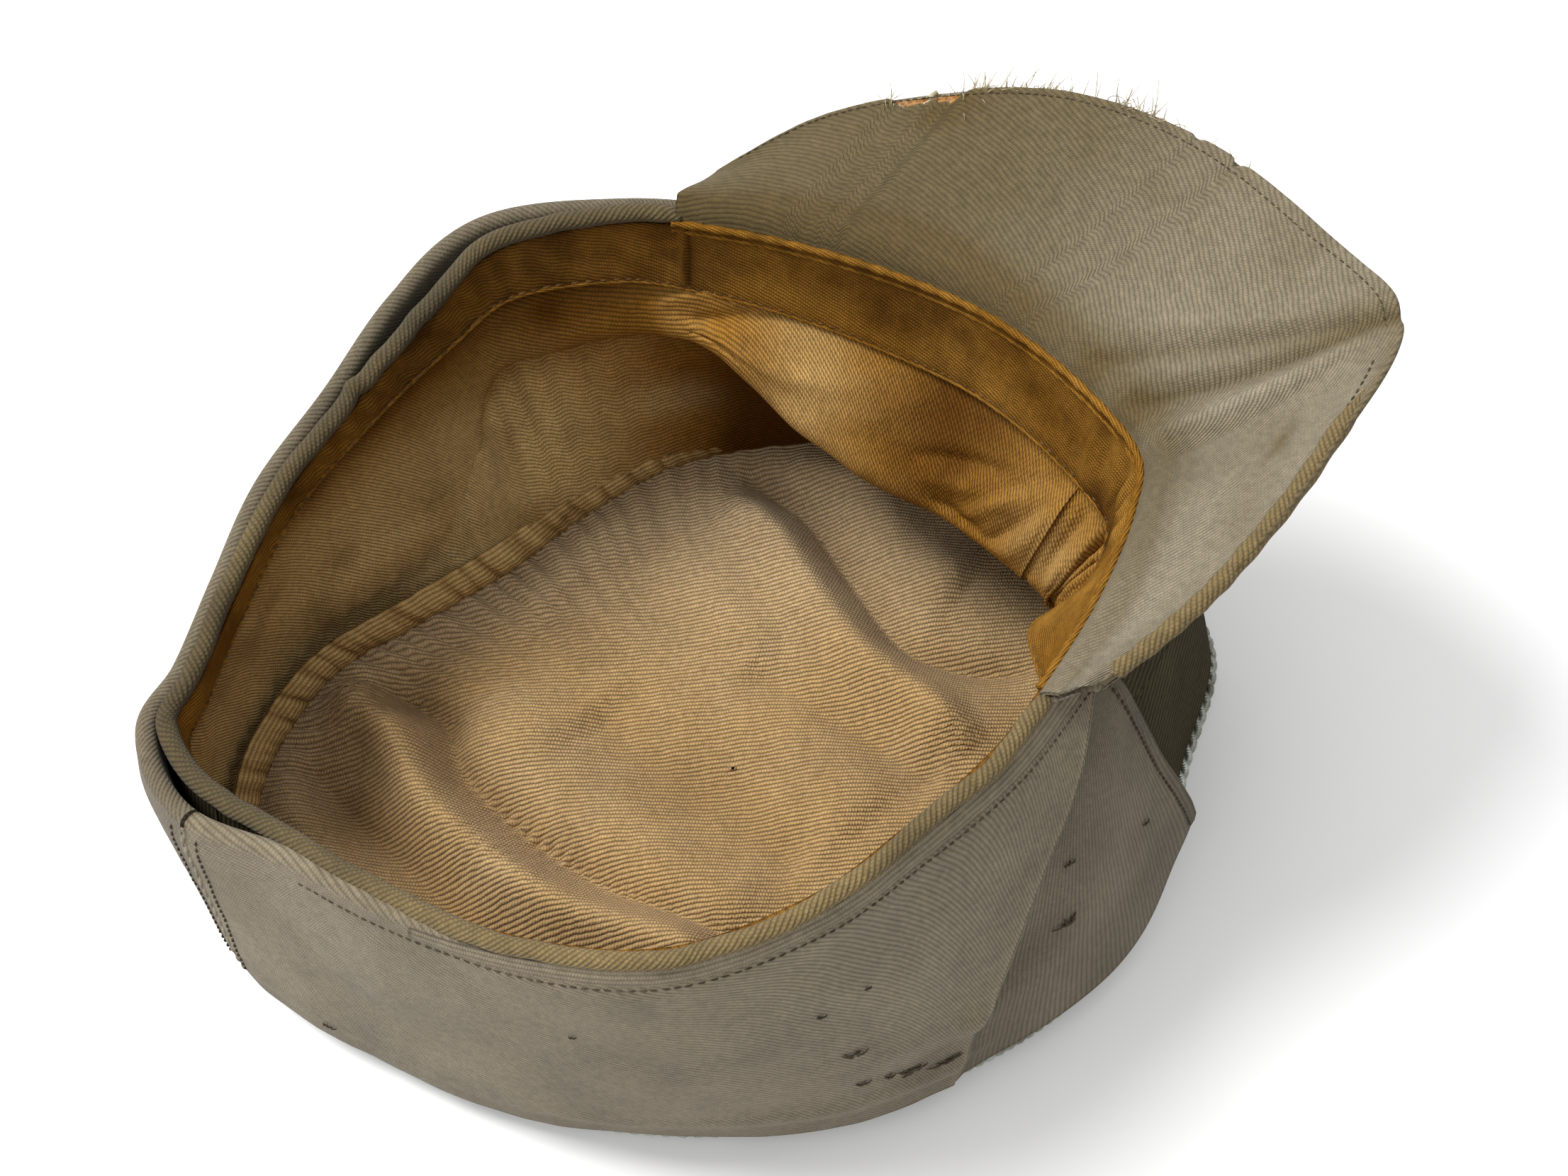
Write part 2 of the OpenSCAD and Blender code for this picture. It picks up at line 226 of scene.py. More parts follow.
def along_lines(rows, k):
    """A smooth sheet through lines of points (rows, count, 3), at shares k of its depth."""
    t = np.asarray(k, float) * (len(rows) - 1)
    last = len(rows) - 1
    i = np.clip(np.floor(t).astype(int), 0, last - 1)
    four = [rows[np.clip(i + step, 0, last)] for step in (-1, 0, 1, 2)]
    return np.swapaxes(spline(*four, (t - i)[:, None, None]), 0, 1)


def crown_point(t, inset):
    p = around(EDGE, t)
    return p - unit(p - CROWN_MIDDLE) * np.asarray(inset, float)[..., None]


def peak_point(u, v, lift):
    """A point of the peak: u from the wearer's left to right, v from the seam to the edge."""
    k = u * (len(PEAK_RIBS) - 1)
    station = along(PEAK_RIBS, k)[..., 0]
    off = 1.4 + 2.6 * bump(u, 0.14, 0.1)[..., None]
    start = around(RIM, station) + outward(station, 0 * station) * off * LEVEL + UP * PEAK_START
    p = mix(start, along(PEAK_EDGE, k), v[..., None])
    hollow = HOLLOW * np.sin(np.pi * v) * np.sin(np.pi * u)
    p[..., 2] += lift - hollow + peak_relief(u, v)
    return p


def peak_relief(u, v):
    """The old creases across the peak, which meet at its corner, and soft waves."""
    grow = 0.45 + 0.55 * v
    total = 0.9 * np.sin(9 * u + 2 * v) * np.sin(np.pi * v)
    for spread, height, width in PEAK_CREASES:
        total = total + height * grow * np.exp(-(np.abs(u - crease_place(spread, v)) / width) ** 1.4)
    return total


# Creases of the peak: how far each spreads from the corner towards the seam, height, width
PEAK_CREASES = [(0.125, 1.4, 0.016), (0.09, -2.4, 0.012), (0.06, 1.2, 0.010), (0.035, -3.8, 0.011),
                (-0.005, 2.6, 0.014), (-0.045, -1.0, 0.012)]


def crease_place(spread, v):
    return 0.402 + spread * (1 - v)


# ---------------------------------------------------------------- meshes
def grid(a, b, columns, c, d, rows):
    """Two full grids of values: a to b from column to column, and c to d from row to row."""
    return np.broadcast_arrays(np.linspace(a, b, columns)[:, None], np.linspace(c, d, rows)[None])


def grid_normals(p, ring=False):
    ahead = np.roll(p, -1, 0) - np.roll(p, 1, 0) if ring else np.gradient(p, axis=0)
    return unit(np.cross(np.gradient(p, axis=1), ahead))


def grid_quads(nu, nv, ring_u, ring_v=False):
    i, j = np.meshgrid(np.arange(nu if ring_u else nu - 1),
                       np.arange(nv if ring_v else nv - 1), indexing="ij")
    i2, j2 = (i + 1) % nu, (j + 1) % nv
    quads = np.stack([i * nv + j, i * nv + j2, i2 * nv + j2, i2 * nv + j], axis=-1)
    return quads.reshape(-1, 4)


def lengths(p, axis):
    """Distance walked along one axis of a grid of points."""
    steps = np.linalg.norm(np.diff(p, axis=axis), axis=-1)
    start = np.zeros_like(np.take(steps, [0], axis=axis))
    return np.cumsum(np.concatenate([start, steps], axis=axis), axis=axis)


def cloth_uv(p):
    """Lengthwise and crosswise distance at each grid point, for the weave."""
    middle = lengths(p, 0)[:, p.shape[1] // 2]
    u = np.repeat(middle[:, None], p.shape[1], axis=1)
    return np.stack([u, lengths(p, 1)], axis=-1)


def add_mesh(name, points, faces, uv, material, marks=None):
    """Makes one piece from points in mm; uv is in mm and marks are named values per point."""
    mesh = bpy.data.meshes.new(name)
    mesh.from_pydata((points * MM).tolist(), [], [list(map(int, f)) for f in faces])
    loops = np.zeros(len(mesh.loops), int)
    mesh.loops.foreach_get("vertex_index", loops)
    layer_uv = mesh.uv_layers.new(name="weave")
    layer_uv.data.foreach_set("uv", (uv[loops] * MM).astype(np.float32).ravel())
    for key, values in (marks or {}).items():
        attribute = mesh.attributes.new(key, "FLOAT", "POINT")
        attribute.data.foreach_set("value", np.clip(values, 0, 1).astype(np.float32).ravel())
    mesh.materials.append(material)
    mesh.polygons.foreach_set("use_smooth", np.ones(len(mesh.polygons), bool))
    mesh.update()
    obj = bpy.data.objects.new(name, mesh)
    bpy.context.scene.collection.objects.link(obj)
    return obj


def cloth(name, mid, thick, material, uv=None, marks=None, ring=False):
    """A piece of cloth of some thickness round a grid of middle points, closed at its edges."""
    nu, nv = mid.shape[:2]
    uv = cloth_uv(mid) if uv is None else uv
    n = grid_normals(mid, ring) * thick / 2
    points = np.concatenate([(mid + n).reshape(-1, 3), (mid - n).reshape(-1, 3)])
    front = grid_quads(nu, nv, ring)
    size = nu * nv
    faces = [front, front[:, ::-1] + size]
    index = np.arange(size).reshape(nu, nv)
    edges = [index[:, 0][::-1], index[:, -1]]
    if ring:
        edges = [np.append(edges[0], edges[0][0]), np.append(edges[1], edges[1][0])]
    else:
        edges += [index[0], index[-1][::-1]]
    for e in edges:
        a, b = e[:-1], e[1:]
        faces.append(np.stack([a, b, b + size, a + size], axis=-1))
    both = np.tile(uv.reshape(-1, 2), (2, 1))
    kept = {k: np.tile(np.broadcast_to(v, (nu, nv)).ravel(), 2) for k, v in (marks or {}).items()}
    return add_mesh(name, points, np.concatenate(faces), both, material, kept)


def tubes(name, paths, radius, material, sides=6, up=(0, 0, 1), flat=1.0, closed=False):
    """Round threads or rolls along paths (count, points, 3), radius per point."""
    count, n = paths.shape[:2]
    if closed:
        tangent = unit(np.roll(paths, -1, 1) - np.roll(paths, 1, 1))
    else:
        tangent = unit(np.gradient(paths, axis=1))
    side = unit(np.cross(tangent, np.broadcast_to(np.array(up, float), paths.shape)))
    top = np.cross(side, tangent)
    angle = np.arange(sides) * 2 * np.pi / sides
    r = np.broadcast_to(np.asarray(radius, float), (count, n))[..., None, None]
    ring = side[:, :, None] * np.cos(angle)[:, None] + top[:, :, None] * np.sin(angle)[:, None] * flat
    p = paths[:, :, None] + ring * r
    quads = grid_quads(n, sides, closed, True)[:, ::-1]
    faces = [list(map(int, q + k * n * sides)) for k in range(count) for q in quads]
    if not closed:
        for k in range(count):
            first = k * n * sides
            faces.append([first + i for i in range(sides)])
            faces.append([first + (n - 1) * sides + i for i in reversed(range(sides))])
    walked = lengths(paths, 1)[..., None] + 0 * angle
    turned = angle * np.max(radius) + 0 * walked
    uv = np.stack([walked, turned], axis=-1).reshape(-1, 2)
    return add_mesh(name, p.reshape(-1, 3), faces, uv, material)


def fit(obj, slot, motion, *nodes):
    """Hides the CAD nodes that a piece stands for, and places it for its motion; the slot is not used.

    The motion is a body's name, whose empty becomes the piece's parent, or a bend: two bodies, and where
    the bend starts and ends, for which the piece's placement is only baked into its points."""
    if nodes:
        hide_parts(*nodes)
    if isinstance(motion, tuple):
        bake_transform(obj)
    else:
        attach(obj, motion)


def stitch_paths(starts, ends, lift, normal):
    """Bowed stitches between pairs of points, raised in the middle along the normal."""
    k = np.linspace(0, 1, 6)[None, :, None]
    rise = (np.sin(np.pi * k) * 0.9 + 0.1) * lift
    return mix(starts[:, None], ends[:, None], k) + normal[:, None] * rise


STITCH_SHAPE = np.array([0.45, 0.9, 1, 1, 0.9, 0.45])


def stitch_row(name, curve, count, material, lift=0.25, radius=0.26, cover=0.66):
    """A row of separate stitches; curve(k) gives points and normals for k in 0..1."""
    k = np.arange(count) / count
    wobble = RNG.normal(0, 0.05, count) / count
    starts, normals = curve(np.clip(k + wobble, 0, 1))
    ends, _ = curve(np.clip(k + cover / count + wobble, 0, 1))
    paths = stitch_paths(starts, ends, lift, normals)
    return tubes(name, paths, STITCH_SHAPE[None] * radius, material)


# ---------------------------------------------------------------- material building
def srgb(r, g, b):
    c = np.array([r, g, b], float) / 255
    return tuple(np.where(c < 0.04045, c / 12.92, ((c + 0.055) / 1.055) ** 2.4)) + (1.0,)


class Tree:
    """Short ways to add shader nodes to one material."""

    def __init__(self, name):
        self.material = bpy.data.materials.new(name)
        self.material.use_nodes = True
        self.tree = self.material.node_tree
        self.tree.nodes.clear()

    def node(self, kind, inputs=None, **settings):
        made = self.tree.nodes.new("ShaderNode" + kind)
        for key, value in settings.items():
            setattr(made, key, value)
        for key, value in (inputs or {}).items():
            self.put(made.inputs[key], value)
        return made

    def put(self, socket, value):
        if isinstance(value, bpy.types.NodeSocket):
            self.tree.links.new(value, socket)
        else:
            socket.default_value = value

    def maths(self, operation, a, b=0.0):
        return self.node("Math", {0: a, 1: b}, operation=operation).outputs[0]

    def product(self, a, b):
        return self.maths("MULTIPLY", a, b)

    def blend(self, a, b, share, kind="MIX"):
        made = self.node("Mix", {"Factor": share, 6: a, 7: b}, data_type="RGBA",
                         blend_type=kind)
        return made.outputs[2]

    def weave_place(self):
        return self.node("UVMap", uv_map="weave").outputs[0]

    def spots(self, size, detail=3.0):
        """Noise in 0..1 whose patches are about the size, in mm."""
        made = self.node("TexNoise", {
            "Vector": self.node("TexCoord").outputs["Object"], "Scale": 1 / (size * MM),
            "Detail": detail, "Roughness": 0.6})
        return made.outputs[0]

    def waves(self, scale, distortion, way):
        """Even bands across the cloth's or thread's own length."""
        made = self.node("TexWave", {"Vector": self.weave_place(), "Scale": scale,
                                     "Distortion": distortion}, bands_direction=way)
        return made.outputs["Fac"]

    def ramp(self, value, low, high):
        made = self.node("MapRange", {"Value": value, "From Min": low, "From Max": high})
        return made.outputs[0]

    def mark(self, name):
        return self.node("Attribute", attribute_name=name).outputs["Fac"]

    def close(self, colour, height, rough, depth, metallic=0.0, sheen=0.0, shine=0.25):
        bumps = self.node("Bump", {"Height": height, "Distance": depth * MM})
        made = self.node("BsdfPrincipled", {
            "Base Color": colour, "Roughness": rough, "Metallic": metallic,
            "Normal": bumps.outputs[0], "Sheen Weight": sheen})
        made.inputs["Specular IOR Level"].default_value = shine
        out = self.node("OutputMaterial")
        self.tree.links.new(made.outputs[0], out.inputs[0])
        return self.material


def weave_height(t, angle, pitch, thread, warp):
    """Raised ribs of a twill at an angle to the cloth's length, crossed by fine threads."""
    uv = t.weave_place()
    drift = t.node("TexNoise", {"Vector": uv, "Scale": 1 / (6 * MM), "Detail": 2.0})
    shift = t.node("VectorMath", {0: drift.outputs["Color"], 1: (0.5, 0.5, 0.5)},
                   operation="SUBTRACT").outputs[0]
    scaled = t.node("VectorMath", {0: shift, "Scale": warp * MM * 4}, operation="SCALE")
    place = t.node("VectorMath", {0: uv, 1: scaled.outputs[0]}, operation="ADD").outputs[0]

    def walked(way):
        return t.node("VectorMath", {0: place, 1: way}, operation="DOT_PRODUCT").outputs["Value"]

    def ridges(count):
        return t.maths("ABSOLUTE", t.maths("SINE", t.product(count, math.pi)))
    a = math.radians(angle)
    ribs = t.product(walked((-math.sin(a), math.cos(a), 0)), 1 / (pitch * MM))
    half = t.product(t.maths("FLOOR", ribs), 0.5)
    down = walked((math.cos(a), math.sin(a), 0))
    steps = t.maths("ADD", t.product(down, 1 / (thread * MM)), half)
    return t.maths("ADD", t.product(ridges(ribs), 0.7), t.product(ridges(steps), 0.3))


def twill(name, base, worn, dirty_and_shaded, pitch, angle=35, thread=0.7, contrast=0.4, depth=0.22,
          rough=0.9, grime=0.35, wear=0.3, sheen=0.08, shine=0.25, warp=0.25):
    """Woven cloth: ribs, fine threads, fuzz, patches, and two marks: one toward the worn colour for worn
    cloth and in places painted light, one toward the dark colour for stains and in places painted shade.
    """
    t = Tree(name)
    height = weave_height(t, angle, pitch, thread, warp)
    slub = t.spots(1.6, 2.0)
    fuzz = t.spots(0.5, 2.0)
    colour = t.blend(base, worn, t.product(t.ramp(t.spots(28), 0.42, 0.68), wear))
    colour = t.blend(colour, dirty_and_shaded, t.product(t.ramp(t.spots(17), 0.5, 0.75), grime))
    # The fade mark carries painted light and the stain mark painted shade on some pieces, as well as
    # wear and stains.
    colour = t.blend(colour, worn, t.mark("fade"))
    colour = t.blend(colour, dirty_and_shaded, t.mark("stain_and_shade"))
    lines = t.ramp(height, 0.1, 0.95)
    shade = t.maths("ADD", t.product(lines, contrast), 1 - contrast * 0.62)
    shade = t.product(shade, t.ramp(slub, -0.9, 1.05))
    shade = t.product(shade, t.ramp(fuzz, -1.3, 1.1))
    shade = t.product(shade, 1.32)
    grey = t.node("CombineColor", {0: shade, 1: shade, 2: shade}).outputs[0]
    colour = t.blend(colour, grey, 1.0, "MULTIPLY")
    relief = t.maths("ADD", height, t.product(fuzz, 0.5))
    return t.close(colour, relief, rough, depth, sheen=sheen, shine=shine)


def thread_material(name, base, other):
    t = Tree(name)
    twist = t.waves(320.0, 0.6, "DIAGONAL")
    colour = t.blend(base, other, t.ramp(t.spots(3.0, 2.0), 0.4, 0.65))
    dark = t.blend(colour, (0, 0, 0, 1), t.product(twist, 0.25))
    return t.close(dark, twist, 0.75, 0.08)


def metal_thread_material(name):
    t = Tree(name)
    wraps = t.waves(700.0, 0.3, "X")
    tarnish = t.ramp(t.spots(7), 0.35, 0.7)
    colour = t.blend(srgb(196, 200, 192), srgb(122, 120, 106), tarnish)
    return t.close(colour, wraps, t.ramp(tarnish, -0.8, 2.2), 0.12, metallic=0.75)


def pebbled_metal_material(name):
    t = Tree(name)
    cells = t.node("TexVoronoi", {"Vector": t.node("TexCoord").outputs["Object"],
                                  "Scale": 1 / (0.75 * MM)})
    wear = t.ramp(t.spots(4), 0.38, 0.66)
    colour = t.blend(srgb(126, 126, 114), srgb(84, 82, 70), wear)
    return t.close(colour, cells.outputs["Distance"], t.ramp(wear, -1.0, 1.8), 0.25, metallic=0.7)


def fibreboard_material(name):
    t = Tree(name)
    fibres = t.spots(0.9, 6.0)
    pale = t.product(t.ramp(t.spots(5), 0.55, 0.7), 0.6)
    colour = t.blend(srgb(196, 140, 84), srgb(142, 92, 46), t.ramp(fibres, 0.35, 0.7))
    return t.close(t.blend(colour, srgb(216, 186, 140), pale), fibres, 0.95, 0.3)


def floor_material(name):
    t = Tree(name)
    grain = t.spots(300, 2.0)
    tone = t.blend((0.93, 0.93, 0.93, 1), (1, 1, 1, 1), t.product(grain, 0.04))
    return t.close(tone, grain, 0.95, 0.01)


WOOL = twill("wool_twill", srgb(130, 118, 96), srgb(156, 144, 120), srgb(86, 77, 58),
             angle=0, pitch=1.1, thread=0.6, contrast=0.6, warp=0.12)
WOOL_EDGE = twill("wool_twill_edge", srgb(120, 102, 66), srgb(150, 128, 84), srgb(62, 54, 34),
                  angle=50, pitch=1.1, thread=0.9, contrast=0.6, depth=0.3)
WOOL_PEAK = twill("wool_twill_peak", srgb(134, 124, 102), srgb(152, 142, 122), srgb(98, 82, 48),
                  angle=-32, pitch=0.95, thread=0.6, contrast=0.5, grime=0.35)
# Darker wool for the front under the peak: its colours are painted shade.
WOOL_PAINTED_SHADE = twill("wool_twill_front_painted_shade", srgb(74, 67, 50), srgb(92, 84, 64), srgb(48, 43, 30),
                   angle=0, pitch=1.15, contrast=1.0, depth=0.3, warp=0.06, sheen=0.0, shine=0.02)
FACING = twill("facing_twill", srgb(84, 76, 58), srgb(100, 90, 70), srgb(60, 52, 36), pitch=0.8)
CROWN_CLOTH = twill("crown_lining_twill", srgb(190, 155, 102), srgb(204, 176, 134), srgb(108, 76, 38),
                    angle=0, pitch=1.0, thread=0.7, contrast=0.9, depth=0.4, grime=0.25, wear=0.3,
                    rough=0.7)
# Its light worn colour also serves as painted light on the lower far lining.
SIDE_CLOTH = twill("side_lining_twill", srgb(166, 116, 40), srgb(222, 190, 130), srgb(92, 54, 4),
                   angle=0, pitch=1.2, thread=0.7, contrast=0.8, depth=0.3, grime=0.4, wear=0.2,
                   rough=0.75, sheen=0.0, shine=0.1)
BAND_CLOTH = twill("sweatband_cloth", srgb(136, 92, 24), srgb(182, 134, 58), srgb(74, 44, 4),
                   angle=-20, pitch=0.8, thread=0.6, contrast=0.75, grime=0.6, wear=0.5, rough=0.7,
                   sheen=0.0, shine=0.1)
DARK_THREAD = thread_material("dark_thread", srgb(62, 52, 38), srgb(84, 74, 56))
TAN_THREAD = thread_material("tan_thread", srgb(82, 58, 24), srgb(112, 84, 44))
PALE_THREAD = thread_material("pale_thread", srgb(188, 176, 146), srgb(150, 138, 110))
SILVER = metal_thread_material("silver_cord")
BUTTON_METAL = pebbled_metal_material("button_metal")
FIBRE = fibreboard_material("fibreboard")


# ---------------------------------------------------------------- flap
def tuck(t):
    """1 where the flap's top is sewn under the rim on the near side, 0 where it stands off."""
    return ease((t - 2.8) / 1.4) * (t < 12)


def flap_depth(t, s):
    """Depth of the flap's middle surface from the body's face."""
    held = mix(FLAP_MID, mix(0.9, FLAP_MID, ease(s / 0.08)), tuck(t))
    swell = around_values(FLAP_SWELL, t) * ease((s - 0.5) / 0.38)
    return held + stand_off(t) * np.clip(1 - s, 0, 1) ** 1.4 + swell


def flap_ridge(t, s):
    """The old crease at each side: the cloth stands up to it, then turns sharply inward."""
    fade = 1 - 0.8 * ease((s - 0.62) / 0.12)
    start = ease(s / 0.16)
    left = t - left_fold(s)
    right = t - right_fold(s)
    before = 3.6 * np.exp(-np.abs(left) / 1.0)
    after = 3.6 - 5.6 * ease(left / 0.16) + 2.6 * ease((left - 0.2) / 1.1)
    near = np.where(left < 0, before, after) * fade * start
    pucker = (-2.4 * bump(left, 0.12, 0.1) + 1.8 * bump(left, -0.12, 0.12)) * bump(s, 0.66, 0.05)
    far = 3.0 * np.exp(-np.abs(right) / 0.9) * fade * start
    return np.where(t < 13.4, near + pucker, far)


def soft_waves(p, seed):
    return 0.9 * noise(p, 34, seed) + 0.4 * noise(p, 14, seed + 1) + 0.12 * noise(p, 5, seed + 2)


def flap_waves(t, s, p):
    """Dents and creases that the loose cloth has taken."""
    calm = ease(s / 0.12)
    low_crease = 1.1 * bump(s, 0.84 + 0.03 * np.sin(t), 0.03) * ease((t - 3) / 2) * (t < 12)
    slant = 0.9 * np.sin(9 * s + 1.7 * t) * bump(t, 3.4, 1.3)
    return calm * (soft_waves(p, 3) + slant * 0.5) + low_crease * 0.8


def flap_shape(t, s, extra=0.0):
    p = wall(t, s)
    d = flap_depth(t, s) + flap_ridge(t, s) + flap_waves(t, s, p) + extra
    return layer(t, s, d)


def flap_grid(start, end, rows, columns):
    """Stations and levels of a flap panel; the panel's ends may slant with the level."""
    u, v = grid(0, 1, columns, 0, 1, rows)
    top = mix(start(0.05), end(0.05), u)
    s = mix(0.012 + 0.018 * tuck(top), flat_end(mix(start(0.5), end(0.5), u)), v)
    return mix(start(s), end(s), u), s


# How the cloth turns over the flap's fold: how far it runs down inside, and its radius
TURN_REACH = 6.0
TURN_RADIUS = 1.6


def with_turned_top(t, p):
    """Adds the part of the cloth that turns over the fold and runs down inside."""
    top = p[:, 0]
    out = flat_out(t[:, 0])
    small = mix(1.0, 0.45, tuck(t[:, 0]))[:, None]
    r = TURN_RADIUS * small
    centre = top - out * r
    rows = [centre - out * r - UP * TURN_REACH * k * small for k in np.linspace(1, 0.12, 4)]
    for a in np.radians(np.linspace(180, 25, 7)):
        rows.append(centre + out * r * math.cos(a) + UP * r * math.sin(a))
    return np.concatenate([np.stack(rows, axis=1), p], axis=1)


def pad_marks(values, p):
    """Values per level, repeated for the rows that were added on top."""
    extra = p.shape[1] - values.shape[1]
    return np.concatenate([np.repeat(values[:, :1], extra, axis=1), values], axis=1)


def tab_bend(fold, side):
    """Start and end of the bend just in front of a fold, square to the fold along the cloth."""
    def at(s):
        return layer(np.array(fold(s)), np.array(s), 3.0)
    n = outward(np.array(fold(0.4)), np.array(0.4))
    ahead = unit(np.cross(n, at(0.75) - at(0.1)))
    ahead = ahead * (-1 if ahead[1] > 0 else 1)
    start = at(0.4) + ahead * 3.5
    return Vector(start * MM), Vector((start + ahead * side) * MM)


# Bends of the cloth over each joint: the two bodies, and where the bend starts and ends
LEFT_FLAP = ("cap", "left_flap", Vector((-0.080, 0.075, 0.080)), Vector((-0.085, 0.005, 0.080)))
RIGHT_FLAP = ("cap", "right_flap", Vector((0.070, 0.070, 0.060)), Vector((0.080, 0.005, 0.060)))
LEFT_TAB = ("left_flap", "left_tab", *tab_bend(left_fold, 26))
RIGHT_TAB = ("right_flap", "right_tab", *tab_bend(right_fold, 20))


def flat_end(t):
    return FLAP_END - 0.012 * ease((t - 6.6) / 1.2) * (t < 12)


# How steeply the twill runs down the flap at some stations: mm down for each mm forward
TWILL_PLACES = [0, 3, 5, 6, 7, 8.3, 16, 26]
TWILL_SLOPES = [0.3, 0.4, 0.57, 1.0, 1.5, 1.9, 1.0, 1.0]


def slanted_uv(t, p, places, slopes):
    """Weave distances of cloth whose ribs change their slant from station to station."""
    uv = cloth_uv(p)
    slope = np.interp(t[:, t.shape[1] // 2], places, slopes)
    uv[..., 1] -= np.cumsum(slope * np.gradient(uv[:, 0, 0]))[:, None]
    return uv


def flap_uv(t, s):
    smooth = with_turned_top(t, layer(t, s, FLAP_MID + 0 * t))
    return slanted_uv(t, smooth, TWILL_PLACES, TWILL_SLOPES)


def front_uv(p):
    """Weave distances of the front's cloth, whose ribs stand almost upright."""
    return np.stack([p[..., 2], p @ np.array([-0.7375, -0.653, -0.17])], axis=-1)


def upright_uv(p):
    """Weave distances of a tab whose ribs run straight down."""
    return cloth_uv(p)[..., ::-1] * np.array([1.0, 1.05])


def left_flap_grid(inset, rows, columns):
    return flap_grid(lambda s: BACK_SEAM + inset, left_fold, rows, columns)


def right_flap_grid(inset, rows, columns):
    return flap_grid(right_fold, lambda s: BACK_SEAM + STATIONS - inset, rows, columns)


def flap_panel(name, t, s, p, stain_and_shade, fade):
    full = with_turned_top(t, p)
    marks = {"stain_and_shade": pad_marks(stain_and_shade, full), "fade": pad_marks(fade, full)}
    return cloth(name, full, TWILL, WOOL, flap_uv(t, s), marks)


def build_flap_left():
    t, s = left_flap_grid(0.02, 76, 230)
    p = flap_shape(t, s)
    stain_and_shade = 0.25 * bump(s, 0.9, 0.1) + 0.2 * (noise(p, 40, 8) > 0.3) * noise(p, 40, 8)
    fade = 0.5 * bump(t - left_fold(s), 0, 0.05) + 0.3 * bump(s, 0.87, 0.02)
    obj = flap_panel("flap_left", t, s, p, stain_and_shade, fade)
    fit(obj, "twill", LEFT_FLAP, "flap_back_left", "flap_side_left")


def build_flap_right():
    t, s = right_flap_grid(0.02, 60, 190)
    p = flap_shape(t, s)
    fade = 0.5 * bump(t - right_fold(s), 0, 0.05)
    obj = flap_panel("flap_right", t, s, p, 0.55 + 0.3 * noise(p, 20, 10), fade)
    fit(obj, "twill", RIGHT_FLAP, "flap_back_right", "flap_side_right")


def build_flap_facings():
    for side, make, columns, motion in (("left", left_flap_grid, 90, LEFT_FLAP),
                                        ("right", right_flap_grid, 80, RIGHT_FLAP)):
        t, s = make(0.05, 30, columns)
        s = mix(0.07, s, 0.985)
        p = flap_shape(t, s, FACING_MID - FLAP_MID)
        obj = cloth("flap_" + side + "_facing", p, LINING, FACING)
        fit(obj, "facing", motion, "flap_back_" + side + "_facing", "flap_side_" + side + "_facing")


def lap(t):
    return OVERLAP * ease((t - 11.7) / 0.8)


# The narrow strip of the left tab that goes on under the peak: station and level of its end
TAB_STRIP = np.array([[9.7, 0.24], [10.2, 0.26], [10.6, 0.3], [11, 0.34], [11.5, 0.4], [12, 0.44],
                      [12.6, 0.46], [14, 0.46]])


def tab_side_grid(rows, columns):
    """The left tab from the crease to its straight front edge, nearly the wall's full height."""
    u, v = grid(0, 1, columns, 0, 1, rows)
    u = u ** 1.5
    s = mix(0.03, FLAP_END - 0.09 * u ** 3, v)
    return mix(left_fold(s), tab_front(s), u), s


def tab_strip_grid(last, rows, columns):
    u, v = grid(0, 1, columns, 0, 1, rows)
    end = np.interp(mix(TAB_STRIP[0, 0], last, u), TAB_STRIP[:, 0], TAB_STRIP[:, 1])
    s = mix(0.03, end, v)
    return mix(tab_front(s), last, u), s


def tab_right_grid(last, rows, columns):
    u, v = grid(0, 1, columns, 0, 1, rows)
    s = mix(0.03, front_end(mix(last, right_fold(0.5), u)), v)
    return mix(last, right_fold(s), u), s


def tab_shape(t, s, extra=0.0, lapping=True):
    p = wall(t, s)
    loose = ease((t - 9.6) / 1.2) * (t < 14.2)
    d = FLAP_MID + flap_ridge(t, s) + extra
    if lapping:
        front = bump(t, tab_front(s), 0.35)
        d = d + lap(t) + front * mix(-0.9, 2.2, ease((s - 0.45) / 0.35))
        d = d + 1.6 * bump(t, 9.0, 0.9) * ease((s - 0.5) / 0.3)
    d = d + 0.8 * noise(p, 26, 12) * ease(s / 0.12) * (0.4 + 0.6 * loose)
    d = d + flap_waves(t, s, p) * (1 - ease(np.abs(t - left_fold(s)) / 0.6)) * (t < 12)
    return layer(t, s, d)


def edge_marks(t, s):
    """Painted shade over the left tab past its crease, with random dirt, and its worn crease."""
    # Past the crease the tab is darkened as painted shade; the noise adds dirt.
    shade_and_dirt = 0.5 * ease((t - left_fold(s)) / 0.12) + 0.25 * noise(wall(t, s), 14, 9)
    rub = 0.8 * bump(t - left_fold(s), 0, 0.035)
    patch = 0.25 * bump(t, 8.6, 0.4) * bump(s, 0.72, 0.14)
    return {"stain_and_shade": shade_and_dirt - rub, "fade": rub + patch}


def build_tab_left():
    t, s = tab_side_grid(70, 90)
    rolled = ease((t - tab_front(s) + 0.12) / 0.05)
    p = tab_shape(t, s) + outward(t, s) * 0.5 * rolled[..., None]
    marks = edge_marks(t, s)
    marks["stain_and_shade"] = marks["stain_and_shade"] + 0.3 * rolled
    side = cloth("flap_left_tab", p, TWILL, WOOL, upright_uv(p), marks)
    fit(side, "twill", LEFT_TAB, "flap_tab_left")
    t, s = tab_strip_grid(TAB_LEFT_END, 26, 84)
    p = tab_shape(t, s)
    # The strip under the peak takes the front's darker wool, and an even darkening, both painted shade.
    strip = cloth("flap_left_tab_strip", p, TWILL, WOOL_PAINTED_SHADE, front_uv(p), {"stain_and_shade": 0.3})
    fit(strip, "twill", LEFT_TAB)
    t, s = tab_side_grid(34, 40)
    t = np.minimum(t, tab_front(s) - 0.05)
    facing = cloth("flap_left_tab_facing", tab_shape(t, mix(0.05, s, 0.97), FACING_MID - FLAP_MID),
                   LINING, FACING)
    fit(facing, "facing", LEFT_TAB, "flap_tab_left_facing")


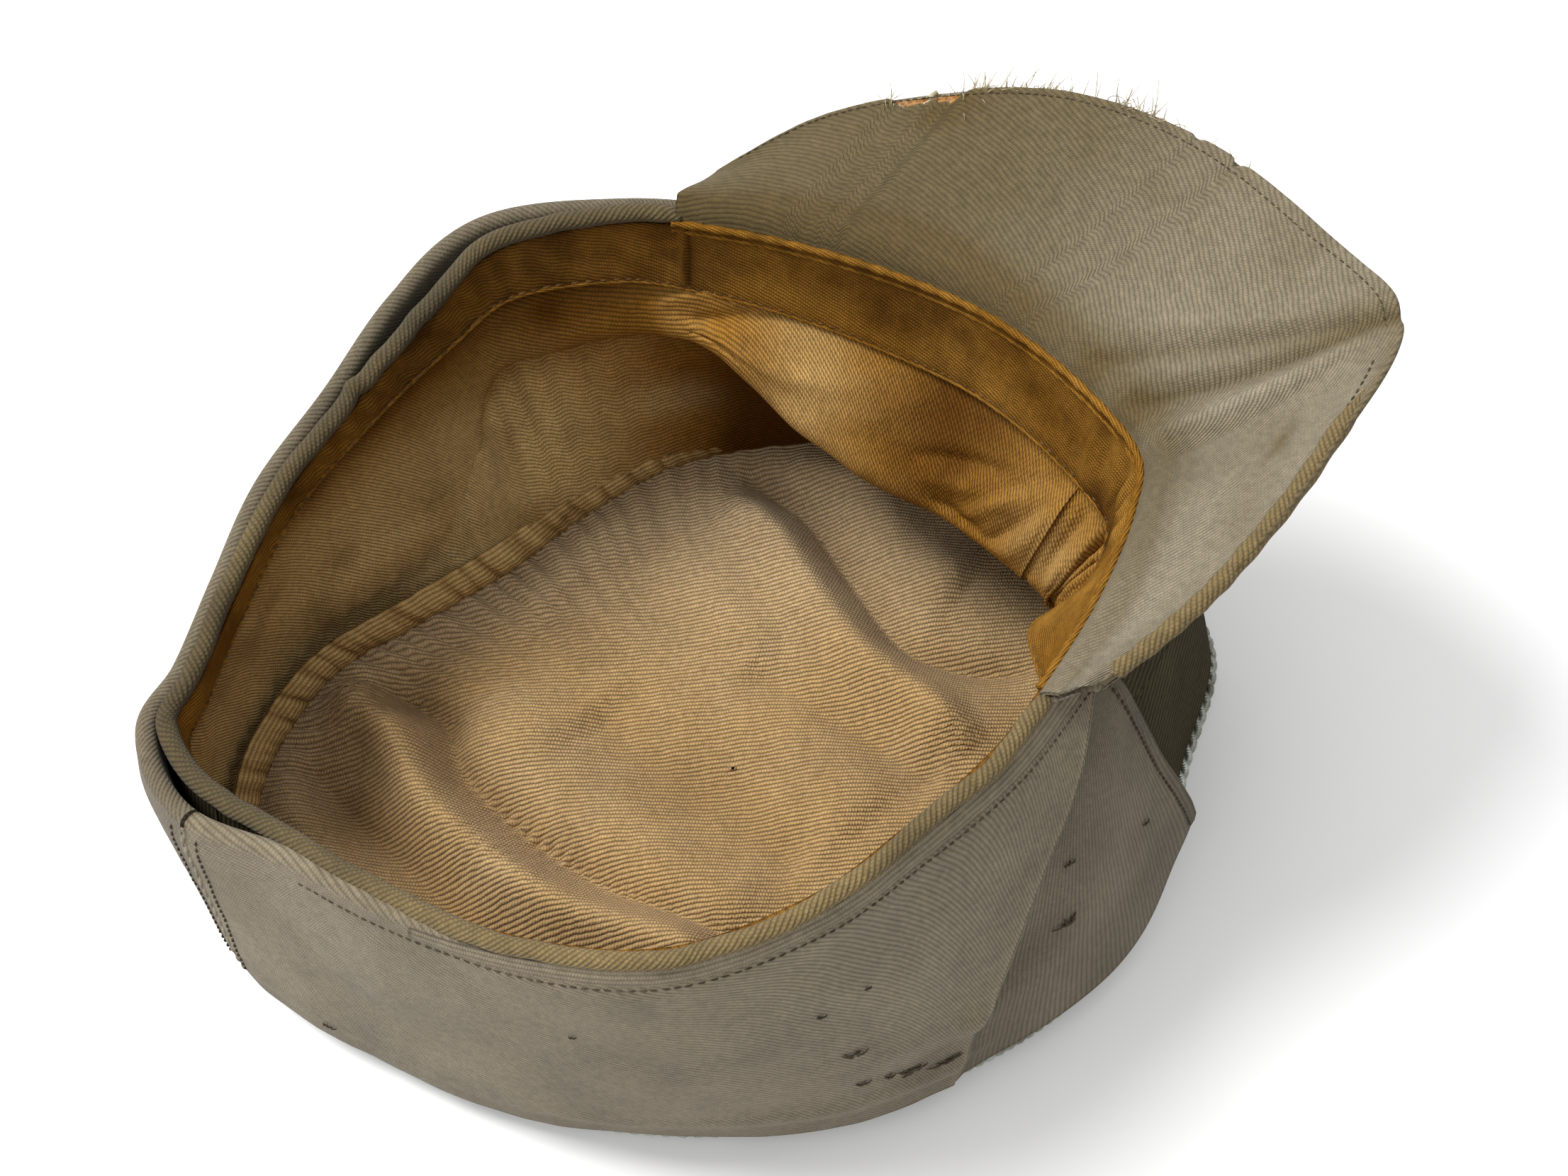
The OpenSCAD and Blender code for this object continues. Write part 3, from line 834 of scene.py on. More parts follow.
def build_tab_right():
    t, s = tab_right_grid(TAB_RIGHT_END, 50, 80)
    p = tab_shape(t, s, lapping=False)
    # The right tab takes the front's darker wool, which holds painted shade, half lightened toward its
    # worn colour.
    right = cloth("flap_right_tab", p, TWILL, WOOL_PAINTED_SHADE, front_uv(p), {"fade": 0.5})
    fit(right, "twill", RIGHT_TAB, "flap_tab_right")
    t, s = tab_right_grid(TAB_RIGHT_END + 0.2, 30, 40)
    facing = cloth("flap_right_tab_facing",
                   tab_shape(t, mix(0.05, s, 0.96), FACING_MID - FLAP_MID, False), LINING, FACING)
    fit(facing, "facing", RIGHT_TAB, "flap_tab_right_facing")


def build_flap_stitches():
    def topstitch(k):
        t = 2.2 + k * 7.1
        s = 0.055 + 0 * t
        return flap_shape(t, s, TWILL / 2), outward(t, s)
    row = stitch_row("flap_topstitch", topstitch, 96, DARK_THREAD, 0.12, 0.2)
    fit(row, "thread", LEFT_FLAP, "rim_stitching")

    def tab_edge(k):
        s = mix(0.1, 0.87, k)
        t = tab_front(s) - 0.13
        return tab_shape(t, s, TWILL / 2), outward(t, s)
    row = stitch_row("tab_left_edge_stitch", tab_edge, 34, DARK_THREAD, 0.3, 0.32, 0.72)
    fit(row, "thread", LEFT_TAB)


def build_back_seam():
    """Two rows of stitches beside the seam behind the head, and the raised seam between."""
    def side(shift):
        def curve(k):
            s = mix(0.05, 0.9, k)
            t = BACK_SEAM + shift + 0 * s
            return flap_shape(t, s, TWILL / 2), outward(t, s)
        return curve
    for name, shift, nodes in (("back_seam_stitch_left", 0.14, ["back_seam_stitching"]),
                               ("back_seam_stitch_right", -0.14, [])):
        row = stitch_row(name, side(shift), 26, DARK_THREAD)
        fit(row, "thread", "cap", *nodes)
    s, k = grid(0.02, FLAP_END, 60, -1, 1, 9)
    ripple = 0.35 * np.sin(s * 95) * (1 - np.abs(k))
    p = flap_shape(BACK_SEAM + 0.05 * k, s, 0.45 - 0.7 * k ** 2 + ripple)
    seam = cloth("back_seam_cover", p, 0.6, WOOL)
    fit(seam, "twill", "cap")


# ---------------------------------------------------------------- rim
HEM_START = 17.4
HEM_END = STATIONS + 8.75


def build_rim_hem():
    """The rolled edge of the body, from the far end of the peak seam round the back."""
    t = np.linspace(HEM_START, HEM_END, 420)[:, None]
    angle = np.linspace(0, 2 * np.pi, 15)[:-1][None]
    near = tuck(np.mod(t, STATIONS))
    taper = ease((t - HEM_START) / 0.25) * ease((HEM_END - t) / 0.15)
    middle = mix(-0.7, 0.1, near)
    wide = mix(2.2, 1.9, near) * (0.75 + 0.25 * taper)
    tall = mix(1.8, 1.4, near) * (0.6 + 0.4 * taper)
    centre = around(RIM, t)
    out = flat_out(t)
    wave = 0.45 * noise(centre, 12, 21) + 0.25 * noise(centre, 4, 22)
    w = t - STATIONS * (t > STATIONS)
    wave = wave + 0.9 * bump(w, 20.9, 0.08)
    near_side = ease((w - 1.5) / 2) * (w < 12)
    sway = (middle + wide * np.cos(angle) + wave)[..., None]
    p = centre + out * sway
    lift = 0.6 + (tall + 0.3 * wave) * np.sin(angle)
    p[..., 2] += lift
    uv = np.stack([lengths(p, 0)[:, :1] + 0 * angle, angle * 2.2 + 0 * t], axis=-1)
    faces = grid_quads(*p.shape[:2], False, True)
    n = p.shape[1]
    last = (len(t) - 1) * n
    caps = [list(range(n))[::-1], [last + i for i in range(n)]]
    stain_and_shade = 0.3 * noise(p, 15, 5) + 0.65 - 0.4 * near_side
    obj = add_mesh("rim_hem_roll", p.reshape(-1, 3), faces.tolist() + caps, uv.reshape(-1, 2),
                   WOOL_EDGE, {"stain_and_shade": stain_and_shade.ravel(), "fade": (0.25 * near_side + 0 * stain_and_shade).ravel()})
    fit(obj, "twill", "cap", "rim_hem")


def build_hinge_band():
    """The strip of the flap sewn down just under the rim on the near side."""
    t, s = grid(3.2, 9.6, 150, 0.004, 0.046, 7)
    puff = 0.5 * np.sin(np.pi * (s - 0.004) / 0.042)
    band = cloth("flap_hinge_strip", flap_shape(t, s, 0.3 + puff), 0.7, WOOL)
    fit(band, "twill", "cap", "flap_hinge_band")


# ---------------------------------------------------------------- body and linings
def build_body():
    for name, a, b in (("body_left", BACK_SEAM, FRONT_SEAM),
                       ("body_right", FRONT_SEAM, BACK_SEAM + STATIONS)):
        t, s = grid(a + 0.004, b - 0.004, 150, 0, 0.99, 50)
        p = wall(t, s)
        wave = 0.15 * noise(p, 18, 31) * ease(s / 0.2)
        # The body takes the front's darker wool, which holds painted shade, with an even darkening.
        obj = cloth(name + "_cloth", layer(t, s, BODY_MID + wave), TWILL * 0.8, WOOL_PAINTED_SHADE,
                    front_uv(p), {"stain_and_shade": 0.2})
        fit(obj, "twill", "cap", name)


SEAM_Z = 13.0
SEAM_INSET = 9.5
LINING_SEAM = 12.62
# The loose front lining bellies into the cap: how far, and the height of its lowest fold, at
# stations 9 to 21
BELLY = [0, 4, 14, 18, 23, 26, 27, 22.5, 14.5, 9.5, 6, 2, 0]
BELLY_Z = [52, 51, 50, 51, 54, 57, 61, 68, 78, 78, 76, 74, 70]
# The belly's side view down to its lowest fold: share of its reach, and level between the rim
# (0) and the fold (1)
BELLY_FRONT = [(0, 0), (0, 0.2), (0.05, 0.42), (0.14, 0.5), (0.42, 0.66), (0.72, 0.82), (0.93, 0.95)]
# Its tuck under the fold: share of its reach, and distance below the fold
BELLY_TUCK = [(1.0, 1.0), (0.98, 3.4), (0.85, 5.0), (0.6, 6.0), (0.35, 7.5), (0.15, 14)]


def belly_amount(t):
    return np.maximum(along_values(BELLY, np.clip(np.mod(t, STATIONS) - 9, 0, len(BELLY) - 1)), 0)


def level_share(z, rim, fold_z):
    """How far down between the rim and the lowest fold a line of the lining lies, on average."""
    return float(np.clip(np.mean((rim[:, 2] - z) / (rim[:, 2] - fold_z)), 0, 1))


def near_lean(t):
    """How far the loose sweatband and lining flop inward by the near end of the peak."""
    return 11.5 * bump(np.mod(t, STATIONS), 9.85, 0.7)


def belly_lines(t):
    """Lines of points of the bellied lining, from the rim down to the crown's seam."""
    amount = belly_amount(t)
    fold_z = along_values(BELLY_Z, np.clip(np.mod(t, STATIONS) - 9, 0, len(BELLY_Z) - 1))
    rim = around(RIM, t) - 2.0 * flat_out(t)
    sides = [(share, mix(rim[:, 2], fold_z, level), level > 0.2) for share, level in BELLY_FRONT]
    sides += [(share, fold_z - drop, True) for share, drop in BELLY_TUCK]
    lines = []
    for share, z, upright in sides:
        low = np.clip((rim[:, 2] - z) / (rim[:, 2] - EDGE_Z), 0, 0.93)
        p = layer(t, low, LINING_MID + 0 * t)
        leaning = near_lean(t) * math.sin(math.pi * min(level_share(z, rim, fold_z), 1.0))
        hang = 0.75 * ease((amount - 8) / 9)[:, None] if upright else 0.0
        q = mix(p, rim, hang) - flat_out(t) * (share * amount + leaning)[:, None]
        q[:, 2] = z
        lines.append(q)
    inset = SEAM_INSET + 0.05 * amount
    seam = np.concatenate([crown_point(t, inset), np.full((len(t), 1), SEAM_Z)], axis=1)
    return np.stack(lines + [seam])


def side_lining_grid(t, v):
    """The side lining: v runs from the rim (0) over the lower wall to the crown seam (1)."""
    tt, vv = np.broadcast_arrays(t[:, None], v[None])
    plain = layer(tt, np.minimum(vv * 0.98, 0.9), LINING_MID - 0.35 + 0 * tt)
    rim = crown_point(t, SEAM_INSET + 0 * t)
    seam = np.concatenate([rim, np.full((len(t), 1), SEAM_Z)], axis=1)[:, None]
    plain = mix(plain, seam, ease((vv - 0.86) / 0.14)[..., None])
    belly = along_lines(belly_lines(t), v)
    return mix(plain, belly, ease(belly_amount(t) / 5)[:, None, None])


# Creases (below 0) and sharp ridges of the front lining: from and to as station and share v,
# height and width in mm
LINING_CREASES = [
    (14.5, 0.395, 13.3, 0.33, -2.6, 1.2), (14.3, 0.43, 13.2, 0.37, 2.0, 2.5),
    (12.9, 0.5, 12.6, 0.27, 2.4, 2.4), (13.15, 0.5, 12.75, 0.32, -2.0, 1.3),
    (13.7, 0.5, 12.9, 0.3, 1.6, 1.8), (12.5, 0.5, 12.35, 0.22, -1.2, 1.5),
    (12.2, 0.46, 12.15, 0.2, 2.0, 1.8), (11.9, 0.45, 11.95, 0.2, -1.8, 1.4),
    (13.5, 0.4, 12.6, 0.24, -1.4, 1.2), (11.5, 0.42, 11.7, 0.2, 1.6, 1.6),
    (17.3, 0.42, 16.2, 0.24, -3.4, 1.8), (17.8, 0.4, 16.6, 0.22, 2.0, 3.0),
    (16.9, 0.46, 15.4, 0.33, 1.6, 3.0), (17.3, 0.5, 16.6, 0.45, -1.5, 1.5),
    (15.4, 0.4, 14.6, 0.3, 0.9, 2.5), (16.2, 0.24, 14.8, 0.24, -0.9, 2.0)]
# Size of a station and of the whole share v, in mm, for measuring across a crease
CREASE_SCALE = np.array([17.0, 120.0])


def crease_height(t, v):
    total = np.zeros_like(v)
    at = np.stack([t + 0 * v, v], axis=-1) * CREASE_SCALE
    for t0, v0, t1, v1, height, width in LINING_CREASES:
        start = np.array([t0, v0]) * CREASE_SCALE
        way = np.array([t1, v1]) * CREASE_SCALE - start
        k = np.clip(((at - start) @ way) / (way @ way), 0, 1)
        away = np.linalg.norm(at - start - k[..., None] * way, axis=-1)
        total += height * np.exp(-(away / width) ** 1.5) * (0.4 + 0.6 * np.sin(np.pi * k))
    return total


def lining_waves(t, v, p):
    """Creases of the side lining: pleats by the near end of the front and loose puckers."""
    w = np.mod(t, STATIONS)
    tight = 0.9 * np.sin(w * 29 + 9 * v) * bump(w, 11.6, 0.8) * bump(v, 0.36, 0.15)
    dent = -2.4 * bump(w, 13.6, 0.35) * bump(v, 0.48, 0.03)
    hang = 1.2 * bump(v, 0.3, 0.05) * bump(w, 19.2, 0.8)
    far = 1.0 * np.sin(w * 9 + 12 * v) * bump(w, 22.4, 1.6) * bump(v, 0.3, 0.2)
    gather = 0.9 * np.sin(w * 22) * ease((v - 0.72) / 0.2) * ease((w - 17.5) / 2)
    seam = 0.5 * bump(w, LINING_SEAM + 0.03, 0.03) - 0.5 * bump(w, LINING_SEAM - 0.05, 0.03)
    swell = 1.2 * noise(p, 22, 41) + 0.4 * noise(p, 8, 42)
    deepest = -0.15 - 3.0 * ease((belly_amount(t) - 8) / 8)
    return np.maximum(tight + hang + far + gather + swell + dent + seam + crease_height(w, v), deepest)


def lining_marks(t, v, p):
    """Stains under the rim and below the belly; painted light on the lower far lining; worn and darned
    cloth lower down.
    """
    w = np.mod(t, STATIONS)
    height = (p[..., 2] - SEAM_Z) / 90
    under = 0.8 * (1 - ease((w - 17) / 1.5)) * ease((v - 0.6) / 0.06)
    stain_and_shade = 0.8 * ease((height - 0.47) / 0.4) * ease((w - 17.2) / 1.5) + 0.4 * bump(w, 14.1, 1.3)
    stain_and_shade = stain_and_shade + 0.55 * bump(w, 14.3, 0.7) * bump(v, 0.3, 0.14) + 0.35 * bump(v, 0.14, 0.08)
    stain_and_shade = stain_and_shade + under + 0.4 * np.maximum(noise(p, 26, 43), 0)
    stain_and_shade = stain_and_shade + 0.3 * np.maximum(noise(p, 9, 44), 0)
    patch = 0.9 * bump(w, 17.7, 0.5) * bump(p[..., 2], 39, 6)
    # The lower far lining is lightened as painted light.
    fade = ease((w - 17.6) / 1.6) * ease((0.8 - height) / 0.5) + patch + 0.35 * bump(w, 16, 0.6)
    fade = fade + 0.35 * bump(w, 12.4, 0.8) * bump(v, 0.4, 0.1)
    return {"stain_and_shade": stain_and_shade, "fade": fade}


# How steeply the ribs of the side lining run at some stations
LINING_PLACES = [0, 1.5, 9, 15.5, 16.5, 17.5, 18.5, 19.5, 22.5, 25]
LINING_SLOPES = [-1.6, -1.4, -1.4, -1.38, -0.7, 0.15, -0.43, -1.28, -1.5, -1.6]


def build_side_linings():
    for name, a, b in (("side_lining_left", BACK_SEAM, LINING_SEAM),
                       ("side_lining_right", LINING_SEAM, BACK_SEAM + STATIONS)):
        step = (b - a) / 239
        t = a + step * np.arange(-2, 242)
        v = np.append(np.linspace(0.03, 0.9, 80), np.linspace(0.91, 1, 28))
        p = side_lining_grid(t, v)
        t, v = np.broadcast_arrays(t[:, None], v[None])
        calm = ease((v - 0.22) / 0.1) * ease((1.0 - v) / 0.06)
        p = p - grid_normals(p) * (lining_waves(t, v, p) * calm)[..., None]
        marks = {key: value[2:-2] for key, value in lining_marks(t, v, p).items()}
        uv = slanted_uv(np.mod(t, STATIONS)[2:-2], p[2:-2], LINING_PLACES, LINING_SLOPES)
        obj = cloth(name + "_cloth", p[2:-2], LINING, SIDE_CLOTH, uv, marks)
        fit(obj, "lining", "cap", name)


# Share of the wall that the sweatband covers at each station
BAND_SHARE = [0.14, 0.17, 0.2, 0.22, 0.24, 0.25, 0.25, 0.25, 0.25, 0.25, 0.25, 0.25, 0.25, 0.24, 0.23,
              0.22, 0.2, 0.18, 0.155, 0.13, 0.12, 0.1, 0.1, 0.11, 0.12]


def band_point(t, v, lift=0.0):
    """The sweatband's middle surface from its top (0) to its stitched lower edge (1)."""
    share = around_values(BAND_SHARE, t)
    lean = (2.0 + 0.12 * belly_amount(t)) * np.maximum(v, 0) ** 1.5 * ease(belly_amount(t) / 5)
    lean = lean + (near_lean(t) + 1.5) * np.maximum(v, 0)
    base = around(RIM, t)
    p = layer(t, mix(0.004 + 0 * t, share, v), BAND_MID - lift - 0 * t)
    upright = mix(p, base + (p - base) * np.array([0.25, 0.25, 1]), ease(belly_amount(t) / 5)[..., None])
    return upright - flat_out(t) * (lean + 1.6 * ease(belly_amount(t) / 5))[..., None]


def band_waves(t, v, p):
    """Puckers along the band's stitches, and the join in the band."""
    w = np.mod(t, STATIONS)
    pucker = 1.2 * np.sin(w * 17 + 3 * v) * bump(w, 11.6, 1.2) + 0.6 * np.sin(w * 13) * bump(w, 2.5, 3)
    pucker = pucker + 0.8 * np.sin(w * 19 + 4 * v + 2 * np.sin(w * 3)) * bump(w, 20.5, 2.6)
    fine = 0.5 * np.sin(w * 47 + 5 * np.sin(w)) * (bump(w, 12, 1.4) + 0.35) * v
    join = 1.2 * bump(w, 17.38, 0.025) - 0.6 * bump(w, 17.3, 0.03)
    return (pucker + fine + join) * np.sin(np.pi * v) + 0.6 * noise(p, 9, 51) * np.sin(np.pi * v)


def build_sweatband():
    t = np.linspace(BACK_SEAM, BACK_SEAM + STATIONS, 500)[:-1, None]
    v = np.linspace(0, 1, 22)[None] + 0 * t
    t = t + 0 * v
    p = band_point(t, v)
    p = p - outward(t, 0.1 + 0 * t) * band_waves(t, v, p)[..., None]
    w = np.mod(t, STATIONS)
    near_end = bump(w, 11.3, 1.0)
    blots = np.maximum(noise(p, 14, 52), 0) + 0.7 * np.maximum(noise(p, 5, 53), 0)
    stain_and_shade = 0.5 * bump(w, 15, 1.3) * bump(v, 0.3, 0.5) + 0.6 * blots + 0.55 * bump(w, 19, 2)
    stain_and_shade = stain_and_shade + 0.3 * bump(w, 12.8, 0.9)
    stain_and_shade = stain_and_shade + 0.35 * ease((v - 0.85) / 0.1) + 0.25 * bump(v, 0, 0.1) + 0.6 * bump(w, 17.34, 0.02)
    fade = 0.4 * near_end * bump(v, 0.3, 0.3) + 0.2 * bump(w, 1.5, 3) + 0.3 * noise(p, 7, 54)
    obj = cloth("sweatband_cloth", p, LINING, BAND_CLOTH, marks={"stain_and_shade": stain_and_shade, "fade": fade},
                ring=True)
    fit(obj, "sweatband", "cap", "sweatband")


def band_roll(name, a, b, v, radius, lift, material):
    """A narrow rolled fold along the sweatband at a share v of its width."""
    t = np.linspace(a, b, 260)
    p = band_point(t, v + 0 * t, lift)
    obj = tubes(name, p[None], radius * (1 + 0.15 * np.sin(t * 23))[None], material, 8)
    fit(obj, "sweatband", "cap")


def build_band_details():
    band_roll("sweatband_edge_roll", 8.8, 17.5, -0.02, 0.9, 0.1, BAND_CLOTH)
    band_roll("sweatband_second_roll", 8.8, 17.5, 0.1, 0.55, 0.3, BAND_CLOTH)
    band_roll("sweatband_lower_fold", BACK_SEAM, BACK_SEAM + STATIONS, 0.98, 0.5, 0.2, BAND_CLOTH)

    def lower(k):
        t = BACK_SEAM + k * STATIONS
        v = 0.93 + 0 * t
        return band_point(t, v, LINING / 2), -outward(t, 0.25 + 0 * t)
    row = stitch_row("sweatband_lower_stitch", lower, 230, TAN_THREAD, 0.25, 0.25, 0.7)
    fit(row, "thread", "cap", "sweatband_stitching")

    def upper(k):
        t = mix(8.9, 17.3, k)
        v = 0.1 + 0 * t
        return band_point(t, v, LINING / 2), -outward(t, 0.03 + 0 * t)
    row = stitch_row("sweatband_upper_stitch", upper, 90, TAN_THREAD, 0.2, 0.2, 0.7)
    fit(row, "thread", "cap")


# ---------------------------------------------------------------- crown
# Folds of the crown's lining: points on a level plan, height, width on each side, sharpness
FOLDS = [
    ([(60, 56), (36, 43), (18, 45), (-17, 33), (-40, 18), (-56, 6)], -9.5, 4, 10, 1.0),
    ([(60, 66), (36, 56), (12, 56), (-20, 45), (-42, 28), (-58, 16)], 15.0, 8, 8, 1.8),
    ([(50, 78), (29, 74), (5, 67), (-19, 60), (-48, 44)], -5.0, 5, 6, 1.4),
    ([(40, 88), (20, 84), (-6, 78), (-30, 66)], 6.0, 7, 8, 2.0),
    ([(66, -50), (52, -57), (38, -62), (17, -62), (-6, -63), (-21, -76), (-28, -88)], -7.0, 5, 5, 1.1),
    ([(54, -44), (35, -50), (16, -50), (-4, -51), (-22, -57), (-40, -60)], 9.0, 7, 9, 1.7),
    ([(62, -68), (40, -76), (16, -78), (-2, -84)], 5.0, 8, 8, 2.0),
    ([(50, -29), (17, -31), (-21, -29), (-42, -32)], 3.0, 9, 12, 2.0),
    ([(10, -26), (-20, -40), (-42, -50)], -4.0, 7, 7, 1.4),
    ([(20, 12), (-10, 2), (-44, -12)], -3.5, 10, 12, 1.6),
    ([(36, 31), (6, 27), (-24, 18), (-52, 4)], 4.5, 12, 16, 2.0),
    ([(60, 10), (52, 36), (40, 60)], -3.0, 8, 8, 1.6),
    ([(66, -20), (58, -2), (50, 14)], 3.0, 7, 9, 2.0),
]


def fold_height(x, y):
    """Sum of the lining's folds at plan points."""
    total = np.zeros_like(x)
    for points, height, left, right, power in FOLDS:
        line = np.array(points, float)
        path = along(line, np.linspace(0, len(line) - 1, 60))
        away = np.stack([x, y], axis=-1)[..., None, :] - path
        square = (away ** 2).sum(-1)
        nearest = square.argmin(-1)
        distance = np.sqrt(np.take_along_axis(square, nearest[..., None], -1))[..., 0]
        tangent = np.gradient(path, axis=0)[nearest]
        gap = np.take_along_axis(away, nearest[..., None, None], -2)[..., 0, :]
        side = tangent[..., 0] * gap[..., 1] - tangent[..., 1] * gap[..., 0]
        width = np.where(side > 0, left, right)
        ends = ease(np.minimum(nearest, 59 - nearest) / 9)
        total += height * np.exp(-(distance / width) ** power) * (0.25 + 0.75 * ends)
    return total


def build_crown_lining():
    t = np.linspace(0, STATIONS, 361)[:-1, None]
    r = np.linspace(0.004, 1, 78)[None]
    rim = crown_point(t, SEAM_INSET + 0 * t)
    xy = CROWN_MIDDLE + (rim - CROWN_MIDDLE) * r[..., None]
    x, y = xy[..., 0], xy[..., 1]
    margin = np.linalg.norm(rim - xy, axis=-1)
    rise = fold_height(x, y) * ease(margin / 14)
    flat = np.stack([x, y, 0 * x], axis=-1)
    puckers = 2.2 * np.sin(t * 23 + 1.5 * np.sin(t * 5) + 0 * r) * np.exp(-margin / 13)
    puckers = puckers * bump(t, 20.6, 3.2) * ease(margin / 2)
    fine = 1.0 * noise(flat, 18, 61) + 0.4 * noise(flat, 7, 62)
    settle = mix(SEAM_Z, 11.0, ease(margin / 22))
    z = settle + rise + puckers + fine * ease(margin / 8)
    p = np.stack([x, y, np.maximum(z, 3.4)], axis=-1)
    a = math.radians(64)
    uv = np.stack([x * math.cos(a) + y * math.sin(a), -x * math.sin(a) + y * math.cos(a)], axis=-1)
    grey = ease((x * 0.64 - y * 0.5 - 10) / 55) + 0.9 * bump(margin, 0, 14)
    dark = 0.25 * bump(margin, 0, 5) + 0.1 * ease((y - 50) / 30)
    dark = dark + 0.2 * np.maximum(noise(flat, 16, 63), 0)
    # Painted shade darkens the fold valleys, and a painted highlight clears the stain on the ridges.
    dark = dark + 0.2 * ease(-rise / 5) - 0.25 * ease(rise / 6)
    obj = cloth("crown_lining_cloth", p[:, ::-1], LINING, CROWN_CLOTH, uv[:, ::-1],
                {"fade": grey[:, ::-1], "stain_and_shade": dark[:, ::-1]}, ring=True)
    fit(obj, "lining", "cap", "crown_lining")


# Stations between which the gathered seam allowance shows
GATHER_START = 17.45
GATHER_END = 24.6


def build_crown_seam_gather():
    """The gathered seam allowance that stands up along the far side of the crown's seam."""
    t, k = grid(GATHER_START, GATHER_END, 460, 0, 1, 14)
    turn = t * 8.3 + 1.6 * np.sin(t * 3.1) + 0.7 * np.sin(t * 7.7) + 1.2 * k
    wave = (np.abs(np.sin(turn)) ** 0.7 * 1.6 - 0.9) * ease((t - 17.3) / 1.6)
    wave = wave + 0.25 * np.sin(t * 41 + 6 * k)
    inset = SEAM_INSET + 0.2 - 3.4 * (1 - k)
    xy = crown_point(t, inset)
    z = SEAM_Z + 0.3 + 8.4 * (1 - k)
    puff = (1.5 + 0.8 * wave * (0.7 + 0.3 * np.sin(t * 7))) * np.abs(np.sin(np.pi * k)) ** 0.8
    p = np.concatenate([xy, z[..., None]], axis=-1)
    p = p - flat_out(t) * puff[..., None]
    # Painted shade darkens the creases between the gathers and a painted highlight lightens their puffs;
    # the ends are darker.
    ends = 0.4 * (bump(t, GATHER_START, 0.4) + bump(t, GATHER_END, 0.4))
    obj = cloth("crown_seam_gather", p, 0.8, SIDE_CLOTH,
                marks={"stain_and_shade": 0.2 - 0.35 * wave + ends, "fade": 0.7 + 0.1 * wave})
    fit(obj, "lining", "cap", "crown_seam_tape")

    def seam(k):
        t = mix(16.5, 24.5, k)
        xy = crown_point(t, SEAM_INSET + 0.7 + 0 * t)
        p = np.concatenate([xy, np.full(t.shape + (1,), SEAM_Z + 0.5)], axis=-1)
        return p, np.broadcast_to([0, 0, 1.0], p.shape)
    row = stitch_row("crown_lining_stitch", seam, 95, TAN_THREAD, 0.3, 0.28, 0.75)
    fit(row, "thread", "cap")


def build_crown_top():
    t = np.linspace(0, STATIONS, 181)[:-1, None]
    r = np.linspace(0.01, 1, 40)[None]
    rim = crown_point(t, 2.4 + 0 * t)
    xy = CROWN_MIDDLE + (rim - CROWN_MIDDLE) * r[..., None]
    flat = np.concatenate([xy, 0 * xy[..., :1]], axis=-1)
    z = 0.7 + 0.9 * ease((r - 0.93) / 0.07) + 0.35 * (noise(flat, 30, 71) + 1)
    p = np.concatenate([xy, z[..., None]], axis=-1)
    obj = cloth("crown_top_cloth", p, 1.0, WOOL, xy.copy(), ring=True)
    fit(obj, "twill", "cap", "crown_top")


# The cord: turns round the crown, how far a strand's middle is from the cord's, strand radius
CORD_TURNS = 108
CORD_REACH = 0.85
STRAND_RADIUS = 0.95
CORD_Z = 3.5


def build_piping():
    """The cord along the crown's edge: two silver strands twisted round each other."""
    t = np.linspace(0, STATIONS, CORD_TURNS * 10 + 1)[:-1]
    middle = crown_point(t, -0.2 + 0 * t)
    out = unit(middle - CROWN_MIDDLE)
    strands = []
    for phase in (0, np.pi):
        a = 2 * np.pi * CORD_TURNS * t / STATIONS + phase
        xy = middle + out * (CORD_REACH * np.cos(a))[:, None]
        z = CORD_Z + CORD_REACH * np.sin(a)
        strands.append(np.concatenate([xy, z[:, None]], axis=-1))
    cord = tubes("crown_cord", np.stack(strands), STRAND_RADIUS, SILVER, 8, closed=True)
    fit(cord, "silver_cord", "cap", "crown_piping")


# ---------------------------------------------------------------- peak
# Where the cover has worn away from the board's edge: from and to across the peak, depth
TEAR_START = 0.775
TEAR_END = 0.84
TEAR_DEPTH = 0.1
# Width of the peak in mm, for noise that runs along its edge
PEAK_WIDTH = 300


def edge_noise(u, size, seed):
    """Smooth random values along the peak's edge."""
    return noise(np.stack([u * PEAK_WIDTH, 0 * u, 0 * u], axis=-1), size, seed)


def peak_end(u):
    """How far the worn cover reaches towards the peak's edge."""
    inside = ease((u - TEAR_START) / 0.006) * ease((TEAR_END - u) / 0.006)
    ragged = 0.75 + 0.25 * edge_noise(u, 1.6, 81) + 0.2 * edge_noise(u, 4.0, 82)
    notch = 0.03 * bump(u, 0.565, 0.004) + 0.02 * bump(u, 0.6, 0.003)
    dip = 0.012 * bump(u, 0.455, 0.03)
    return 0.985 - 0.017 * ease((u - 0.5) / 0.2) - dip - TEAR_DEPTH * inside * ragged - notch


# The seam turn: how far out from the rim and how high each row of the cover's cloth lies
SEAM_TURN = [(-1.3, -0.8), (-1.2, 1.2), (-0.4, 2.6), (0.5, 3.5)]


def with_seam_turn(p, u, side):
    """Adds the part of a cover that turns down into the seam with the rim."""
    station = along(PEAK_RIBS, u * (len(PEAK_RIBS) - 1))[..., 0]
    out = flat_out(station)
    base = around(RIM, station) + (out * 1.2 - UP * 1.6) * (side < 0)
    rows = [base + out * x + UP * z for x, z in SEAM_TURN]
    return np.concatenate([np.stack(rows, axis=1), p], axis=1)


